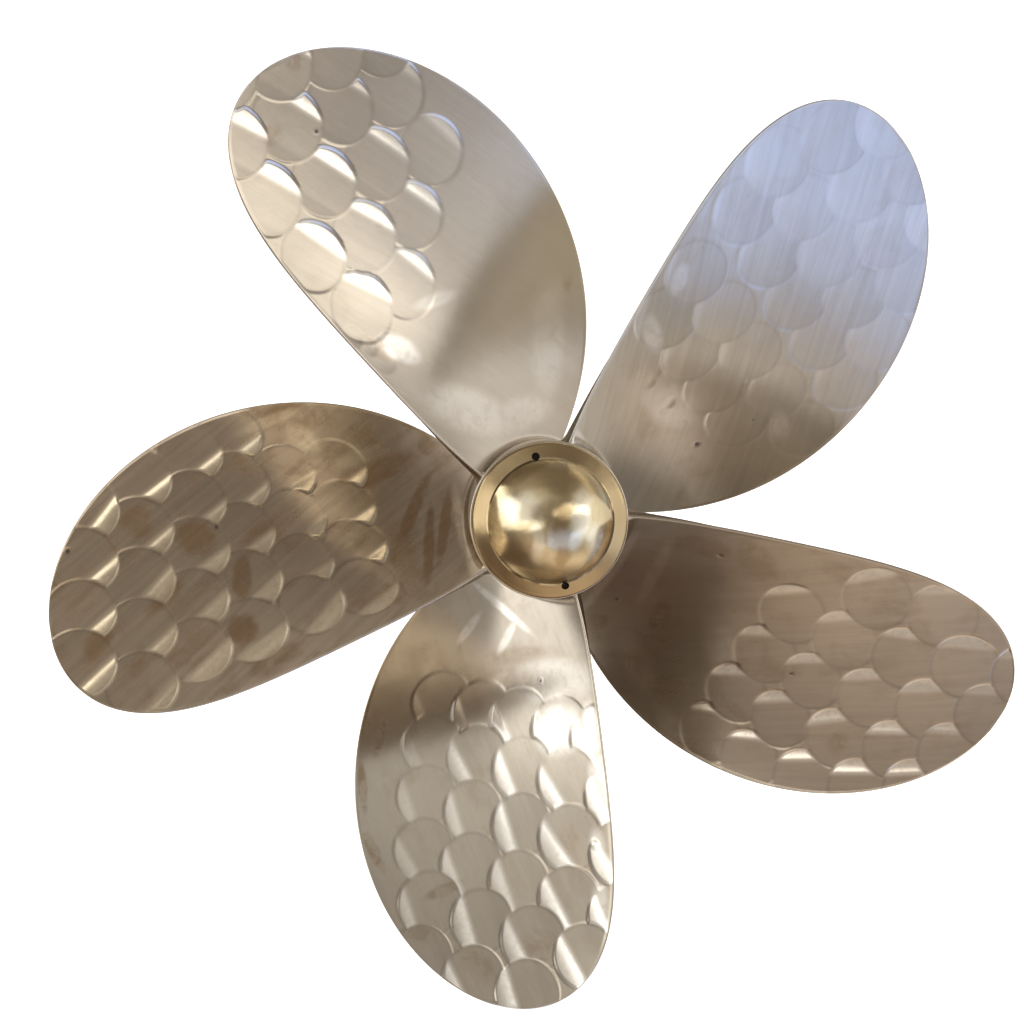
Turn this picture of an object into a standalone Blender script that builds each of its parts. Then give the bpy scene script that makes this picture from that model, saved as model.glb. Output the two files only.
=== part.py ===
# Ship propeller, 1.10 m across: five blades cast in one with their hub,
# a domed cap screwed into the hub's aft end, and the nut that the cap covers.
# World frame: +Z up, the shaft's axis along Y, the hub's forward face at y = 0,
# and the domed cap towards -Y. All sizes are in metres.
# Inside the axis empty, +Z runs aft along the shaft and +Y points up.

import math

import bmesh
import bpy
import numpy as np
from mathutils import Matrix, Vector

# Blades
DIAMETER = 1.10
BLADE_COUNT = 5
PITCH = 0.963 * DIAMETER
RAKE_SLOPE = 0.31
CLOCK_ANGLE = math.radians(30.8)
SECTION_STATIONS = (0.2, 0.4, 0.6, 0.8, 1.0)
MID_CHORD_DEGREES = (12.7, 13.2, 10.2, 5.7, 0.7)
SHAPE_STATIONS = (0.2, 0.6, 1.0)
CHORD_FULLNESS = (0.240, 0.398, 0.594)
MAX_THICKNESS = (0.0370, 0.0185, 0.0055)
EDGE_THICKNESS = (0.0060, 0.0040, 0.0030)
EDGE_LIMIT_OF_CHORD = 0.6
BACK_LEAN = 0.15
ROOT_FILLET = 0.022
EDGE_FILLET_SHARE = 0.3
ROOT_SUNK = 0.010
FACE_STEPS = 10
EDGE_STEPS = 4
SPAN_STEPS = 18
FILLET_STEPS = 4
TIP_ANGLE = math.radians(2.0)

# Hub
HUB_LENGTH = 0.259
BLADE_PLANE = 0.138
HUB_FORWARD_RADIUS = 0.096
HUB_AFT_RADIUS = 0.089
HUB_FORWARD_ROUND = 0.006
HUB_AFT_ROUND = 0.0015
BORE_FORWARD_RADIUS = 0.0475
BORE_TAPER = 1.0 / 12.0
SEAL_RECESS_RADIUS = 0.062
SEAL_RECESS_DEPTH = 0.012
NUT_RECESS_RADIUS = 0.0665
NUT_RECESS_DEPTH = 0.028
KEYWAY_WIDTH = 0.025
KEYWAY_DEPTH = 0.008
CUTTER_OVERLAP = 0.005
TURN_STEPS = 60
ROUND_STEPS = 4
DOME_STEPS = 10
MERGE_DISTANCE = 0.00005

# Cap
JOINT_THICKNESS = 0.0012
CAP_RADIUS = 0.0864
CAP_COLLAR_HEIGHT = 0.011
CAP_SHOULDER_ROUND = 0.008
CAP_BAND_TILT = math.radians(35.0)
CAP_DOME_RADIUS = 0.0695
CAP_DOME_RISE = 0.045
CAP_STEP = 0.0008
CAP_WALL = 0.008
SPIGOT_RADIUS = 0.0661
SPIGOT_LENGTH = 0.010
SPIGOT_WALL = 0.0045
JOINT_INSET = 0.0012
SPANNER_HOLE_RADIUS = 0.0044
SPANNER_HOLE_CIRCLE = 0.0728
SPANNER_HOLE_DEPTH = 0.009
SPANNER_HOLE_ANGLE = math.radians(103.0)
HOLE_STEPS = 20

# Nut, lock plate and seal
NUT_ACROSS_FLATS = 0.105
NUT_THICKNESS = 0.044
NUT_HOLE_RADIUS = 0.0345
NUT_CHAMFER = 0.003
NUT_FACE_RADIUS = 0.0515
NUT_FORM_RADIUS = 0.0611
PLATE_RADIUS = 0.0625
PLATE_HOLE_RADIUS = 0.0370
PLATE_THICKNESS = 0.004
SEAL_INNER_RADIUS = 0.0500
SEAL_THICKNESS = 0.010
GAP = 0.0003

# Finishes: base colour, roughness and metallic value
BLADE_BRONZE = ("blade_bronze", (0.42, 0.35, 0.26), 0.32, 1.0)
POLISHED_BRASS = ("polished_brass", (0.56, 0.44, 0.24), 0.12, 1.0)
NUT_BRONZE = ("nut_bronze", (0.38, 0.29, 0.17), 0.4, 1.0)
PLATE_STEEL = ("plate_steel", (0.50, 0.50, 0.49), 0.35, 1.0)
SEAL_RUBBER = ("seal_rubber", (0.02, 0.02, 0.02), 0.7, 0.0)
JOINT_FIBRE = ("joint_fibre", (0.07, 0.055, 0.04), 0.8, 0.0)


def clear_scene():
    for old in list(bpy.data.objects):
        bpy.data.objects.remove(old, do_unlink=True)


def make_collection(name):
    collection = bpy.data.collections.new(name)
    bpy.context.scene.collection.children.link(collection)
    return collection


def make_material(finish):
    name, colour, roughness, metallic = finish
    material = bpy.data.materials.new(name)
    material.use_nodes = True
    shader = material.node_tree.nodes["Principled BSDF"]
    shader.inputs["Base Color"].default_value = (*colour, 1.0)
    shader.inputs["Roughness"].default_value = roughness
    shader.inputs["Metallic"].default_value = metallic
    material.diffuse_color = (*colour, 1.0)
    return material


def place(obj, collection, axis, finish=None):
    """Link an object, hang it on the shaft's axis and give it its finish."""
    collection.objects.link(obj)
    obj.parent = axis
    if finish:
        obj.data.materials.append(make_material(finish))
    return obj


def as_cutter(obj):
    obj.hide_render = True
    obj.display_type = "WIRE"
    return obj


def smooth_mesh(mesh, angle=math.radians(30.0)):
    mesh.shade_smooth()
    mesh.set_sharp_from_angle(angle=angle)


def through(stations, values, x):
    """The smooth curve through a few design values."""
    return float(np.polyval(np.polyfit(stations, values, len(stations) - 1), x))


# Turned pieces

def turned(name, profile, closed):
    """A profile of (radius, height) points, turned once about the shaft's axis."""
    mesh = bpy.data.meshes.new(name)
    points = [(radius, 0.0, height) for radius, height in profile]
    edges = [(i, i + 1) for i in range(len(points) - 1)]
    if closed:
        edges.append((len(points) - 1, 0))
    mesh.from_pydata(points, edges, [])
    obj = bpy.data.objects.new(name, mesh)
    screw = obj.modifiers.new("Turn", "SCREW")
    screw.axis = "Z"
    screw.angle = 2.0 * math.pi
    screw.steps = TURN_STEPS
    screw.render_steps = TURN_STEPS
    screw.use_merge_vertices = True
    screw.merge_threshold = MERGE_DISTANCE
    screw.use_smooth_shade = True
    return obj


def arc(centre_radius, centre_height, radius, start, end, steps):
    """Points on an arc of a profile, from one angle to another."""
    points = []
    for i in range(steps + 1):
        angle = start + (end - start) * i / steps
        points.append((centre_radius + radius * math.cos(angle), centre_height + radius * math.sin(angle)))
    return points


def bore_radius(height):
    """The tapered bore's radius, at a height aft of the hub's forward face."""
    return BORE_FORWARD_RADIUS - (height - SEAL_RECESS_DEPTH) * BORE_TAPER / 2.0


def hub_radius(height):
    share = height / HUB_LENGTH
    return HUB_FORWARD_RADIUS + (HUB_AFT_RADIUS - HUB_FORWARD_RADIUS) * share


def hub_profile():
    seat_end = HUB_LENGTH - NUT_RECESS_DEPTH
    aft = HUB_AFT_ROUND
    forward = HUB_FORWARD_ROUND
    profile = [(NUT_RECESS_RADIUS, HUB_LENGTH)]
    profile += arc(hub_radius(HUB_LENGTH) - aft, HUB_LENGTH - aft, aft, math.pi / 2, 0.0, ROUND_STEPS // 2)
    profile += arc(hub_radius(forward) - forward, forward, forward, 0.0, -math.pi / 2, ROUND_STEPS)
    profile += [
        (SEAL_RECESS_RADIUS, 0.0),
        (SEAL_RECESS_RADIUS, SEAL_RECESS_DEPTH),
        (BORE_FORWARD_RADIUS, SEAL_RECESS_DEPTH),
        (bore_radius(seat_end), seat_end),
        (NUT_RECESS_RADIUS, seat_end),
    ]
    return profile


# Blades

def section_ring(station_radius, root_share, flare):
    """One closed blade section, wrapped round the shaft at its radius.

    root_share is 1 where the section follows the hub's own taper, and 0 on the
    free blade. flare thickens the section where it runs into the hub.
    """
    x = min(station_radius / (DIAMETER / 2.0), 1.0)
    mid = math.radians(through(SECTION_STATIONS, MID_CHORD_DEGREES, x))
    fullness = through(SHAPE_STATIONS, CHORD_FULLNESS, x)
    chord = DIAMETER * fullness * math.sqrt(max(1.0 - x * x, 0.0))
    edge = min(through(SHAPE_STATIONS, EDGE_THICKNESS, x), chord * EDGE_LIMIT_OF_CHORD)
    thick = max(through(SHAPE_STATIONS, MAX_THICKNESS, x), edge)
    pitch_angle = math.atan(PITCH / (2.0 * math.pi * station_radius))

    half = chord / 2.0 - edge / 2.0
    outline = []
    for i in range(FACE_STEPS + 1):
        turn = math.pi * i / FACE_STEPS
        outline.append((half * math.cos(turn), 0.0, math.sin(turn), 1.0))
    for i in range(1, EDGE_STEPS):
        turn = math.pi * i / EDGE_STEPS
        across = -half - edge / 2.0 * math.sin(turn)
        outline.append((across, -edge / 2.0 * (1.0 - math.cos(turn)), 0.0, math.cos(turn)))
    for i in range(FACE_STEPS + 1):
        turn = math.pi * (1.0 - i / FACE_STEPS)
        bulge = math.sin(turn) * (1.0 + BACK_LEAN * math.cos(turn))
        outline.append((half * math.cos(turn), -edge - (thick - edge) * bulge, math.sin(turn), -1.0))
    for i in range(1, EDGE_STEPS):
        turn = math.pi * i / EDGE_STEPS
        across = half + edge / 2.0 * math.sin(turn)
        outline.append((across, -edge / 2.0 * (1.0 + math.cos(turn)), 0.0, -math.cos(turn)))

    ring = []
    mid_height = BLADE_PLANE - PITCH * mid / (2.0 * math.pi) + RAKE_SLOPE * station_radius
    for along, rise, fill, side in outline:
        grow = flare * (EDGE_FILLET_SHARE + (1.0 - EDGE_FILLET_SHARE) * math.sqrt(fill))
        reach = flare * EDGE_FILLET_SHARE
        along += reach * along / half
        rise += grow * side
        angle = mid + (along * math.cos(pitch_angle) + rise * math.sin(pitch_angle)) / station_radius
        height = mid_height - along * math.sin(pitch_angle) + rise * math.cos(pitch_angle)
        radius = station_radius + root_share * (hub_radius(height) - hub_radius(BLADE_PLANE))
        ring.append(Vector((radius * math.sin(angle), radius * math.cos(angle), height)))
    return ring


def blade_stations():
    """Radius, hub share and root flare of each section, from the hub to the tip."""
    root = hub_radius(BLADE_PLANE)
    tip_radius = DIAMETER / 2.0
    stations = [(root - ROOT_SUNK, 1.0, ROOT_FILLET)]
    for i in range(FILLET_STEPS + 1):
        turn = math.pi / 2.0 * (1.0 - i / FILLET_STEPS)
        rise = ROOT_FILLET * (1.0 - math.sin(turn))
        flare = ROOT_FILLET * (1.0 - math.cos(turn))
        stations.append((root + rise, 1.0 - rise / ROOT_FILLET, flare))
    first = math.acos((root + ROOT_FILLET) / tip_radius)
    for i in range(1, SPAN_STEPS + 1):
        turn = first + (TIP_ANGLE - first) * i / SPAN_STEPS
        stations.append((tip_radius * math.cos(turn), 0.0, 0.0))
    return stations


def build_blade_form(number, cutters, axis):
    """One blade, lofted between its sections and sunk into the hub."""
    name = f"blade_form_{number}"
    form = bmesh.new()
    rings = [[form.verts.new(p) for p in section_ring(*station)] for station in blade_stations()]
    count = len(rings[0])
    for inner, outer in zip(rings, rings[1:]):
        for i in range(count):
            j = (i + 1) % count
            form.faces.new((inner[i], inner[j], outer[j], outer[i]))
    form.faces.new(rings[0])
    form.faces.new(list(reversed(rings[-1])))
    turn = Matrix.Rotation(CLOCK_ANGLE - number * 2.0 * math.pi / BLADE_COUNT, 4, "Z")
    bmesh.ops.transform(form, matrix=turn, verts=form.verts)
    bmesh.ops.recalc_face_normals(form, faces=form.faces)
    mesh = bpy.data.meshes.new(name)
    form.to_mesh(mesh)
    form.free()
    mesh.shade_smooth()
    return as_cutter(place(bpy.data.objects.new(name, mesh), cutters, axis))


def build_keyway_cutter(cutters, axis):
    """The straight slot beside the bore, as deep at its aft end as at its forward one."""
    seat_end = HUB_LENGTH - NUT_RECESS_DEPTH
    length = seat_end - SEAL_RECESS_DEPTH + 2.0 * CUTTER_OVERLAP
    middle = (SEAL_RECESS_DEPTH + seat_end) / 2.0
    depth = KEYWAY_DEPTH + 3.0 * CUTTER_OVERLAP
    scale = Matrix.Diagonal((KEYWAY_WIDTH, depth, length, 1.0))
    lean = Matrix.Rotation(math.atan(BORE_TAPER / 2.0), 4, "X")
    shift = Matrix.Translation((0.0, bore_radius(middle) + KEYWAY_DEPTH - depth / 2.0, middle))
    slot = bmesh.new()
    bmesh.ops.create_cube(slot, size=1.0, matrix=shift @ lean @ scale)
    mesh = bpy.data.meshes.new("keyway_cutter")
    slot.to_mesh(mesh)
    slot.free()
    return as_cutter(place(bpy.data.objects.new("keyway_cutter", mesh), cutters, axis))


def build_casting(parts, cutters, axis):
    """The hub and its five blades, cast in one, with the bore and keyway cut."""
    casting = place(turned("propeller_casting", hub_profile(), True), parts, axis, BLADE_BRONZE)
    for number in range(BLADE_COUNT):
        join = casting.modifiers.new(f"Blade {number + 1}", "BOOLEAN")
        join.operation = "UNION"
        join.solver = "EXACT"
        join.object = build_blade_form(number, cutters, axis)
    cut = casting.modifiers.new("Keyway", "BOOLEAN")
    cut.operation = "DIFFERENCE"
    cut.solver = "EXACT"
    cut.object = build_keyway_cutter(cutters, axis)
    return casting


# Cap, joint, nut, lock plate and seal

def cap_profile():
    """Down the outside from the crown, across the flange and up the inside."""
    base = HUB_LENGTH + JOINT_THICKNESS + GAP
    shoulder = CAP_SHOULDER_ROUND
    collar_top = base + CAP_COLLAR_HEIGHT
    band_top = collar_top + shoulder * math.cos(CAP_BAND_TILT)
    band_radius = CAP_RADIUS - shoulder * (1.0 - math.sin(CAP_BAND_TILT))
    dome_base = band_top + (band_radius - CAP_DOME_RADIUS) * math.tan(CAP_BAND_TILT)

    rise = CAP_DOME_RISE
    foot = CAP_DOME_RADIUS - CAP_STEP
    sphere = (foot * foot + rise * rise) / (2.0 * rise)
    centre = dome_base + rise - sphere
    foot_angle = math.asin((sphere - rise) / sphere)
    outside = arc(0.0, centre, sphere, math.pi / 2.0, foot_angle, DOME_STEPS)
    outside[0] = (0.0, centre + sphere)
    outside += [(CAP_DOME_RADIUS, dome_base)]
    band_end = math.pi / 2.0 - CAP_BAND_TILT
    outside += arc(CAP_RADIUS - shoulder, collar_top, shoulder, band_end, 0.0, ROUND_STEPS)
    outside += [(CAP_RADIUS, base), (SPIGOT_RADIUS, base), (SPIGOT_RADIUS, base - SPIGOT_LENGTH)]

    inner_sphere = sphere - CAP_WALL
    mouth = SPIGOT_RADIUS - SPIGOT_WALL
    mouth_angle = math.acos(mouth / inner_sphere)
    inside = [(mouth, base - SPIGOT_LENGTH)]
    inside += arc(0.0, centre, inner_sphere, mouth_angle, math.pi / 2.0, DOME_STEPS)
    inside[-1] = (0.0, centre + inner_sphere)
    return outside + inside


def band_height(radius):
    """Height of the cap's sloping band at a radius."""
    base = HUB_LENGTH + JOINT_THICKNESS + GAP
    band_top = base + CAP_COLLAR_HEIGHT + CAP_SHOULDER_ROUND * math.cos(CAP_BAND_TILT)
    band_radius = CAP_RADIUS - CAP_SHOULDER_ROUND * (1.0 - math.sin(CAP_BAND_TILT))
    return band_top + (band_radius - radius) * math.tan(CAP_BAND_TILT)


def build_cap(parts, cutters, axis):
    """The hollow domed cap, with two blind holes for a pin spanner."""
    cap = place(turned("boss_cap", cap_profile(), False), parts, axis, POLISHED_BRASS)
    surface = band_height(SPANNER_HOLE_CIRCLE)
    length = SPANNER_HOLE_DEPTH * 2.0
    for number in range(2):
        angle = SPANNER_HOLE_ANGLE + number * math.pi
        drill = bmesh.new()
        centre = Matrix.Translation((SPANNER_HOLE_CIRCLE * math.cos(angle),
                                     SPANNER_HOLE_CIRCLE * math.sin(angle), surface))
        bmesh.ops.create_cone(drill, cap_ends=True, segments=HOLE_STEPS, radius1=SPANNER_HOLE_RADIUS,
                              radius2=SPANNER_HOLE_RADIUS, depth=length, matrix=centre)
        mesh = bpy.data.meshes.new(f"spanner_hole_{number + 1}")
        drill.to_mesh(mesh)
        drill.free()
        cutter = as_cutter(place(bpy.data.objects.new(mesh.name, mesh), cutters, axis))
        cut = cap.modifiers.new(f"Spanner hole {number + 1}", "BOOLEAN")
        cut.operation = "DIFFERENCE"
        cut.solver = "EXACT"
        cut.object = cutter
    return cap


def ring_profile(inner, outer, bottom, top):
    return [(inner, top), (outer, top), (outer, bottom), (inner, bottom)]


def build_joint_ring(parts, axis):
    low = HUB_LENGTH + GAP / 2.0
    profile = ring_profile(SPIGOT_RADIUS + GAP, CAP_RADIUS - JOINT_INSET, low, low + JOINT_THICKNESS)
    return place(turned("cap_joint_ring", profile, True), parts, axis, JOINT_FIBRE)


def build_lock_plate(parts, axis):
    floor = HUB_LENGTH - NUT_RECESS_DEPTH + GAP
    profile = ring_profile(PLATE_HOLE_RADIUS, PLATE_RADIUS, floor, floor + PLATE_THICKNESS)
    return place(turned("nut_lock_plate", profile, True), parts, axis, PLATE_STEEL)


def build_nut(parts, cutters, axis):
    """A six-sided nut seated on the lock plate, its corners and hole turned."""
    seat = HUB_LENGTH - NUT_RECESS_DEPTH + PLATE_THICKNESS + 2.0 * GAP
    top = seat + NUT_THICKNESS
    corner = NUT_ACROSS_FLATS / 2.0 / math.cos(math.pi / 6.0)
    blank = bmesh.new()
    bmesh.ops.create_cone(blank, cap_ends=True, segments=6, radius1=corner, radius2=corner,
                          depth=NUT_THICKNESS, matrix=Matrix.Translation((0.0, 0.0, (seat + top) / 2.0)))
    mesh = bpy.data.meshes.new("propeller_nut")
    blank.to_mesh(mesh)
    blank.free()
    nut = place(bpy.data.objects.new("propeller_nut", mesh), parts, axis, NUT_BRONZE)

    form = [
        (NUT_HOLE_RADIUS, top),
        (NUT_FACE_RADIUS, top),
        (NUT_FORM_RADIUS, top - NUT_CHAMFER),
        (NUT_FORM_RADIUS, seat + NUT_CHAMFER),
        (NUT_FACE_RADIUS, seat),
        (NUT_HOLE_RADIUS, seat),
    ]
    trim = nut.modifiers.new("Turned form", "BOOLEAN")
    trim.operation = "INTERSECT"
    trim.solver = "EXACT"
    trim.object = as_cutter(place(turned("nut_turned_form", form, True), cutters, axis))
    return nut


def build_seal(parts, axis):
    outer = SEAL_RECESS_RADIUS - GAP
    low = SEAL_RECESS_DEPTH - GAP - SEAL_THICKNESS
    profile = ring_profile(SEAL_INNER_RADIUS, outer, low, low + SEAL_THICKNESS)
    return place(turned("forward_seal_ring", profile, True), parts, axis, SEAL_RUBBER)


def main():
    clear_scene()
    parts = make_collection("ship_propeller")
    cutters = make_collection("cutters")
    axis = bpy.data.objects.new("shaft_axis", None)
    axis.rotation_euler = (math.pi / 2.0, 0.0, 0.0)
    parts.objects.link(axis)
    build_casting(parts, cutters, axis)
    build_cap(parts, cutters, axis)
    build_joint_ring(parts, axis)
    build_lock_plate(parts, axis)
    build_nut(parts, cutters, axis)
    build_seal(parts, axis)
    bpy.context.view_layer.update()


main()
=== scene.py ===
"""The looks of a bronze ship propeller: five ground blades on one hub, and a polished cap."""

import math

import bmesh
import bpy
import numpy as np
from bpy.props import FloatProperty, FloatVectorProperty, IntProperty, PointerProperty
from bpy.types import Operator, Panel, PropertyGroup
from mathutils import Matrix, Vector


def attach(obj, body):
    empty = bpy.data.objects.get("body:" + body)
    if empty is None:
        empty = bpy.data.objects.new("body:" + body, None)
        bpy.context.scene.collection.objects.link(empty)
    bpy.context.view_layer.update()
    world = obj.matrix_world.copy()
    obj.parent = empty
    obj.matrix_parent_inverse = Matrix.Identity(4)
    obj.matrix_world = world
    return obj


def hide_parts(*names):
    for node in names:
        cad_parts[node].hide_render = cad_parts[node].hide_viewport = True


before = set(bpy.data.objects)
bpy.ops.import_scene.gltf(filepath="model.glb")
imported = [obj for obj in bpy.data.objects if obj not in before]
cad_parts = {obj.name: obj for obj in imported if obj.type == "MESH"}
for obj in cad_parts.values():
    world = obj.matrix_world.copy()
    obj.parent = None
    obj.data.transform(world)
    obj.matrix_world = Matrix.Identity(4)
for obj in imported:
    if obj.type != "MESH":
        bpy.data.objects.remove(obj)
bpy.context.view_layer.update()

bl_info = {
    "name": "Ship propeller looks",
    "version": (1, 0, 0),
    "blender": (4, 5, 0),
    "location": "3D View > Sidebar > Propeller",
    "description": "Adds the ground blades, hub, polished cap and studio of a bronze ship propeller",
    "category": "Add Mesh",
}

# The casting's own sizes, in metres, as the solid model has them.
DIAMETER = 1.10
BLADE_COUNT = 5
PITCH = 0.963 * DIAMETER
RAKE_SLOPE = 0.31
CLOCK_ANGLE = math.radians(30.8)
SECTION_STATIONS = (0.2, 0.4, 0.6, 0.8, 1.0)
MID_CHORD_DEGREES = (12.7, 13.2, 10.2, 5.7, 0.7)
SHAPE_STATIONS = (0.2, 0.6, 1.0)
CHORD_FULLNESS = (0.240, 0.398, 0.594)
MAX_THICKNESS = (0.0370, 0.0185, 0.0055)
EDGE_THICKNESS = (0.0034, 0.0029, 0.0026)
EDGE_LIMIT_OF_CHORD = 0.6
BACK_LEAN = 0.15
ROOT_FILLET = 0.010
EDGE_FILLET_SHARE = 0.1
ROOT_SUNK = 0.004
PLANE_STATION = 0.65

HUB_LENGTH = 0.259
BLADE_PLANE = 0.138
HUB_FORWARD_RADIUS = 0.096
HUB_AFT_RADIUS = 0.089
HUB_FORWARD_ROUND = 0.006
HUB_AFT_ROUND = 0.0015
BORE_FORWARD_RADIUS = 0.0475
BORE_TAPER = 1.0 / 12.0
SEAL_RECESS_RADIUS = 0.062
SEAL_RECESS_DEPTH = 0.012
NUT_RECESS_RADIUS = 0.0665
NUT_RECESS_DEPTH = 0.028
KEYWAY_WIDTH = 0.025
KEYWAY_DEPTH = 0.008

CAP_BASE = HUB_LENGTH + 0.0015
CAP_RADIUS = 0.0864
CAP_COLLAR_HEIGHT = 0.011
CAP_SHOULDER_ROUND = 0.008
CAP_BAND_TILT = math.radians(35.0)
CAP_DOME_RADIUS = 0.0695
CAP_DOME_RISE = 0.045
CAP_STEP = 0.0008
CAP_WALL = 0.008
SPIGOT_RADIUS = 0.0661
SPIGOT_LENGTH = 0.010
SPIGOT_WALL = 0.0045
SPANNER_HOLE_RADIUS = 0.0044
SPANNER_HOLE_CIRCLE = 0.0728
SPANNER_HOLE_DEPTH = 0.009
SPANNER_HOLE_ANGLE = math.radians(103.0)

# Rows of grinder marks on each blade's face, in millimetres on the blade's own
# plane, X towards the leading edge and Y towards the tip: the first mark's X and
# Y, the step to the next one in X and Y, and how many there are.
MARK_ROWS = {
    1: (
        (-175.0, 189.0, 58.0, -1.0, 4),
        (-187.5, 127.5, 61.0, 2.5, 4),
        (-172.5, 64.0, 65.0, 2.0, 4),
        (-147.5, -2.5, 65.0, 5.0, 3),
        (-111.0, -65.0, 61.0, 7.5, 2),
    ),
    2: (
        (-125.0, 190.0, 60.0, 0.0, 3),
        (-145.0, 132.5, 61.5, 0.0, 4),
        (-162.5, 70.0, 61.5, 1.0, 5),
        (-140.0, 15.0, 62.0, 1.0, 5),
        (-115.0, -60.0, 63.0, 2.0, 5),
        (-91.5, -114.0, 58.5, 1.0, 4),
    ),
    3: (
        (-167.0, 180.0, 61.0, 0.3, 4),
        (-133.0, 125.0, 64.0, 3.5, 4),
        (-165.0, 66.0, 65.0, 3.0, 5),
        (-138.0, 2.0, 65.5, 3.5, 5),
        (-59.0, -58.0, 64.0, 5.0, 4),
    ),
    4: (
        (-132.5, 165.0, 65.0, 5.0, 3),
        (-182.5, 104.0, 64.0, 3.0, 4),
        (-207.5, 47.5, 62.5, 3.0, 5),
        (-187.5, -15.0, 62.5, 3.5, 5),
        (-160.0, -75.0, 60.0, 3.5, 5),
        (-125.0, -130.0, 54.0, 4.0, 5),
    ),
    5: (
        (-144.5, 161.0, 57.0, 0.0, 4),
        (-166.5, 96.0, 58.0, 2.5, 5),
        (-131.0, 40.5, 58.5, 2.0, 5),
        (-108.5, -20.0, 59.5, 6.0, 5),
        (-79.5, -84.5, 56.0, 9.0, 4),
        (-59.5, -142.5, 53.5, 8.0, 4),
    ),
}
BACK_ROWS = (
    (-190.0, 190.0, 62.0, 2.0, 6),
    (-165.0, 130.0, 62.0, 2.0, 6),
    (-190.0, 70.0, 62.0, 2.0, 7),
    (-165.0, 10.0, 62.0, 2.0, 6),
    (-190.0, -50.0, 62.0, 2.0, 7),
    (-165.0, -110.0, 62.0, 2.0, 6),
)
BACK_BRIGHT_SIDE = (1.0, 0.5, 0.11, 0.45, 0.0, 0.0)

# Which side of each mark carries the bevel with a painted highlight (1 towards the tip and the
# leading edge, -1 towards the hub and the trailing edge), the share of the radius at which its
# bevel starts, the bevel's slope, how strong the painted highlight is in the middle of the blade,
# and how that changes a metre further to the leading edge and to the tip.
BRIGHT_SIDES = {
    1: (1.0, 0.54, 0.12, 0.55, -2.0, -1.2),
    2: (-1.0, 0.62, 0.07, 0.22, 0.0, -1.8),
    3: (-1.0, 0.64, 0.14, 0.75, 1.8, 1.0),
    4: (1.0, 0.44, 0.12, 0.58, -3.4, 0.0),
    5: (-1.0, 0.54, 0.19, 0.90, -1.0, 0.6),
}

# Pores and dents: X, Y, radius and depth, in millimetres on the blade's plane.
PITS = {
    1: ((-136.0, -92.0, 13.0, 0.7), (-118.0, -108.0, 11.0, 0.6), (-108.0, -127.0, 14.0, 0.7), (-98.0, 116.0, 3.0, 0.2)),
    2: ((87.5, -167.5, 4.0, 0.6), (-35.0, -170.0, 8.0, 0.5), (8.0, -165.0, 8.0, 0.5), (95.0, -95.0, 2.0, 0.4)),
    3: ((3.5, -15.0, 2.6, 1.4), (-69.0, -166.0, 2.2, 1.2), (85.0, -236.0, 2.6, 1.2), (62.5, -177.5, 2.0, 1.0)),
    4: ((-155.0, -15.0, 6.0, 0.6), (-30.0, -172.0, 3.0, 0.4), (-72.0, -142.0, 9.0, 0.6)),
    5: ((-20.0, 176.0, 4.0, 0.6), (70.0, 160.0, 3.0, 0.6), (15.0, 20.0, 4.0, 0.5)),
}

# Brown patches, partly stains and partly painted dark reflections, and painted highlights (gleams),
# in millimetres on the blade's plane: X, Y, half length, half width, turn from the leading edge in degrees, and
# strength.
STAINS_AND_DARK_REFLECTIONS = {
    1: (
        (-97.0, 185.0, 12.0, 9.0, 0.0, 0.5),
        (-145.0, 122.0, 14.0, 10.0, 40.0, 0.4),
        (165.0, -110.0, 16.0, 8.0, 80.0, 0.4),
        (-112.0, -112.0, 18.0, 9.0, -60.0, 0.5),
        (-60.0, 10.0, 5.0, 4.0, 0.0, 0.4),
    ),
    2: (
        (120.0, -185.0, 26.0, 16.0, 20.0, 0.4),
        (-10.0, -168.0, 20.0, 12.0, -50.0, 0.4),
        (-40.0, -150.0, 16.0, 4.0, -70.0, 0.5),
        (30.0, -205.0, 50.0, 14.0, -15.0, 0.3),
        (160.0, -225.0, 24.0, 10.0, -30.0, 0.4),
    ),
    3: (
        (-90.0, -130.0, 34.0, 20.0, 60.0, 0.45),
        (60.0, -180.0, 30.0, 12.0, 10.0, 0.5),
        (130.0, -116.0, 30.0, 22.0, -40.0, 0.45),
        (-66.0, -190.0, 36.0, 14.0, -65.0, 0.5),
        (136.0, -241.0, 24.0, 10.0, -30.0, 0.6),
        (33.0, 78.0, 16.0, 12.0, 0.0, 0.5),
        (88.0, -38.0, 8.0, 20.0, 0.0, 0.4),
    ),
    4: (
        (97.0, 82.0, 26.0, 7.0, -40.0, 0.9),
        (0.0, 94.0, 26.0, 7.0, 42.0, 0.8),
        (142.0, 15.0, 32.0, 6.0, -60.0, 0.9),
        (146.0, -45.0, 26.0, 6.0, -80.0, 0.8),
        (-128.0, 113.0, 22.0, 18.0, 0.0, 0.5),
        (-67.0, 157.0, 26.0, 15.0, -20.0, 0.6),
        (-124.0, -8.0, 14.0, 24.0, 0.0, 0.4),
        (7.0, -195.0, 50.0, 12.0, 15.0, 0.5),
        (10.0, 150.0, 20.0, 10.0, 10.0, 0.5),
    ),
    5: (
        (-107.0, -9.0, 18.0, 17.0, 0.0, 1.0),
        (-46.0, -9.0, 26.0, 11.0, 0.0, 0.9),
        (0.0, 41.0, 22.0, 24.0, -30.0, 0.8),
        (18.0, 106.0, 20.0, 18.0, 0.0, 0.6),
        (-121.0, 141.0, 24.0, 14.0, -20.0, 0.7),
        (-70.0, 75.0, 26.0, 10.0, -45.0, 0.6),
        (0.0, -223.0, 62.0, 6.0, -10.0, 0.9),
        (57.0, -214.0, 60.0, 8.0, -25.0, 0.9),
        (29.0, -246.0, 60.0, 6.0, -15.0, 0.9),
        (110.0, -180.0, 40.0, 14.0, -50.0, 0.6),
        (60.0, 170.0, 30.0, 10.0, -45.0, 0.6),
        (-20.0, -190.0, 40.0, 16.0, 0.0, 0.4),
    ),
}
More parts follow.
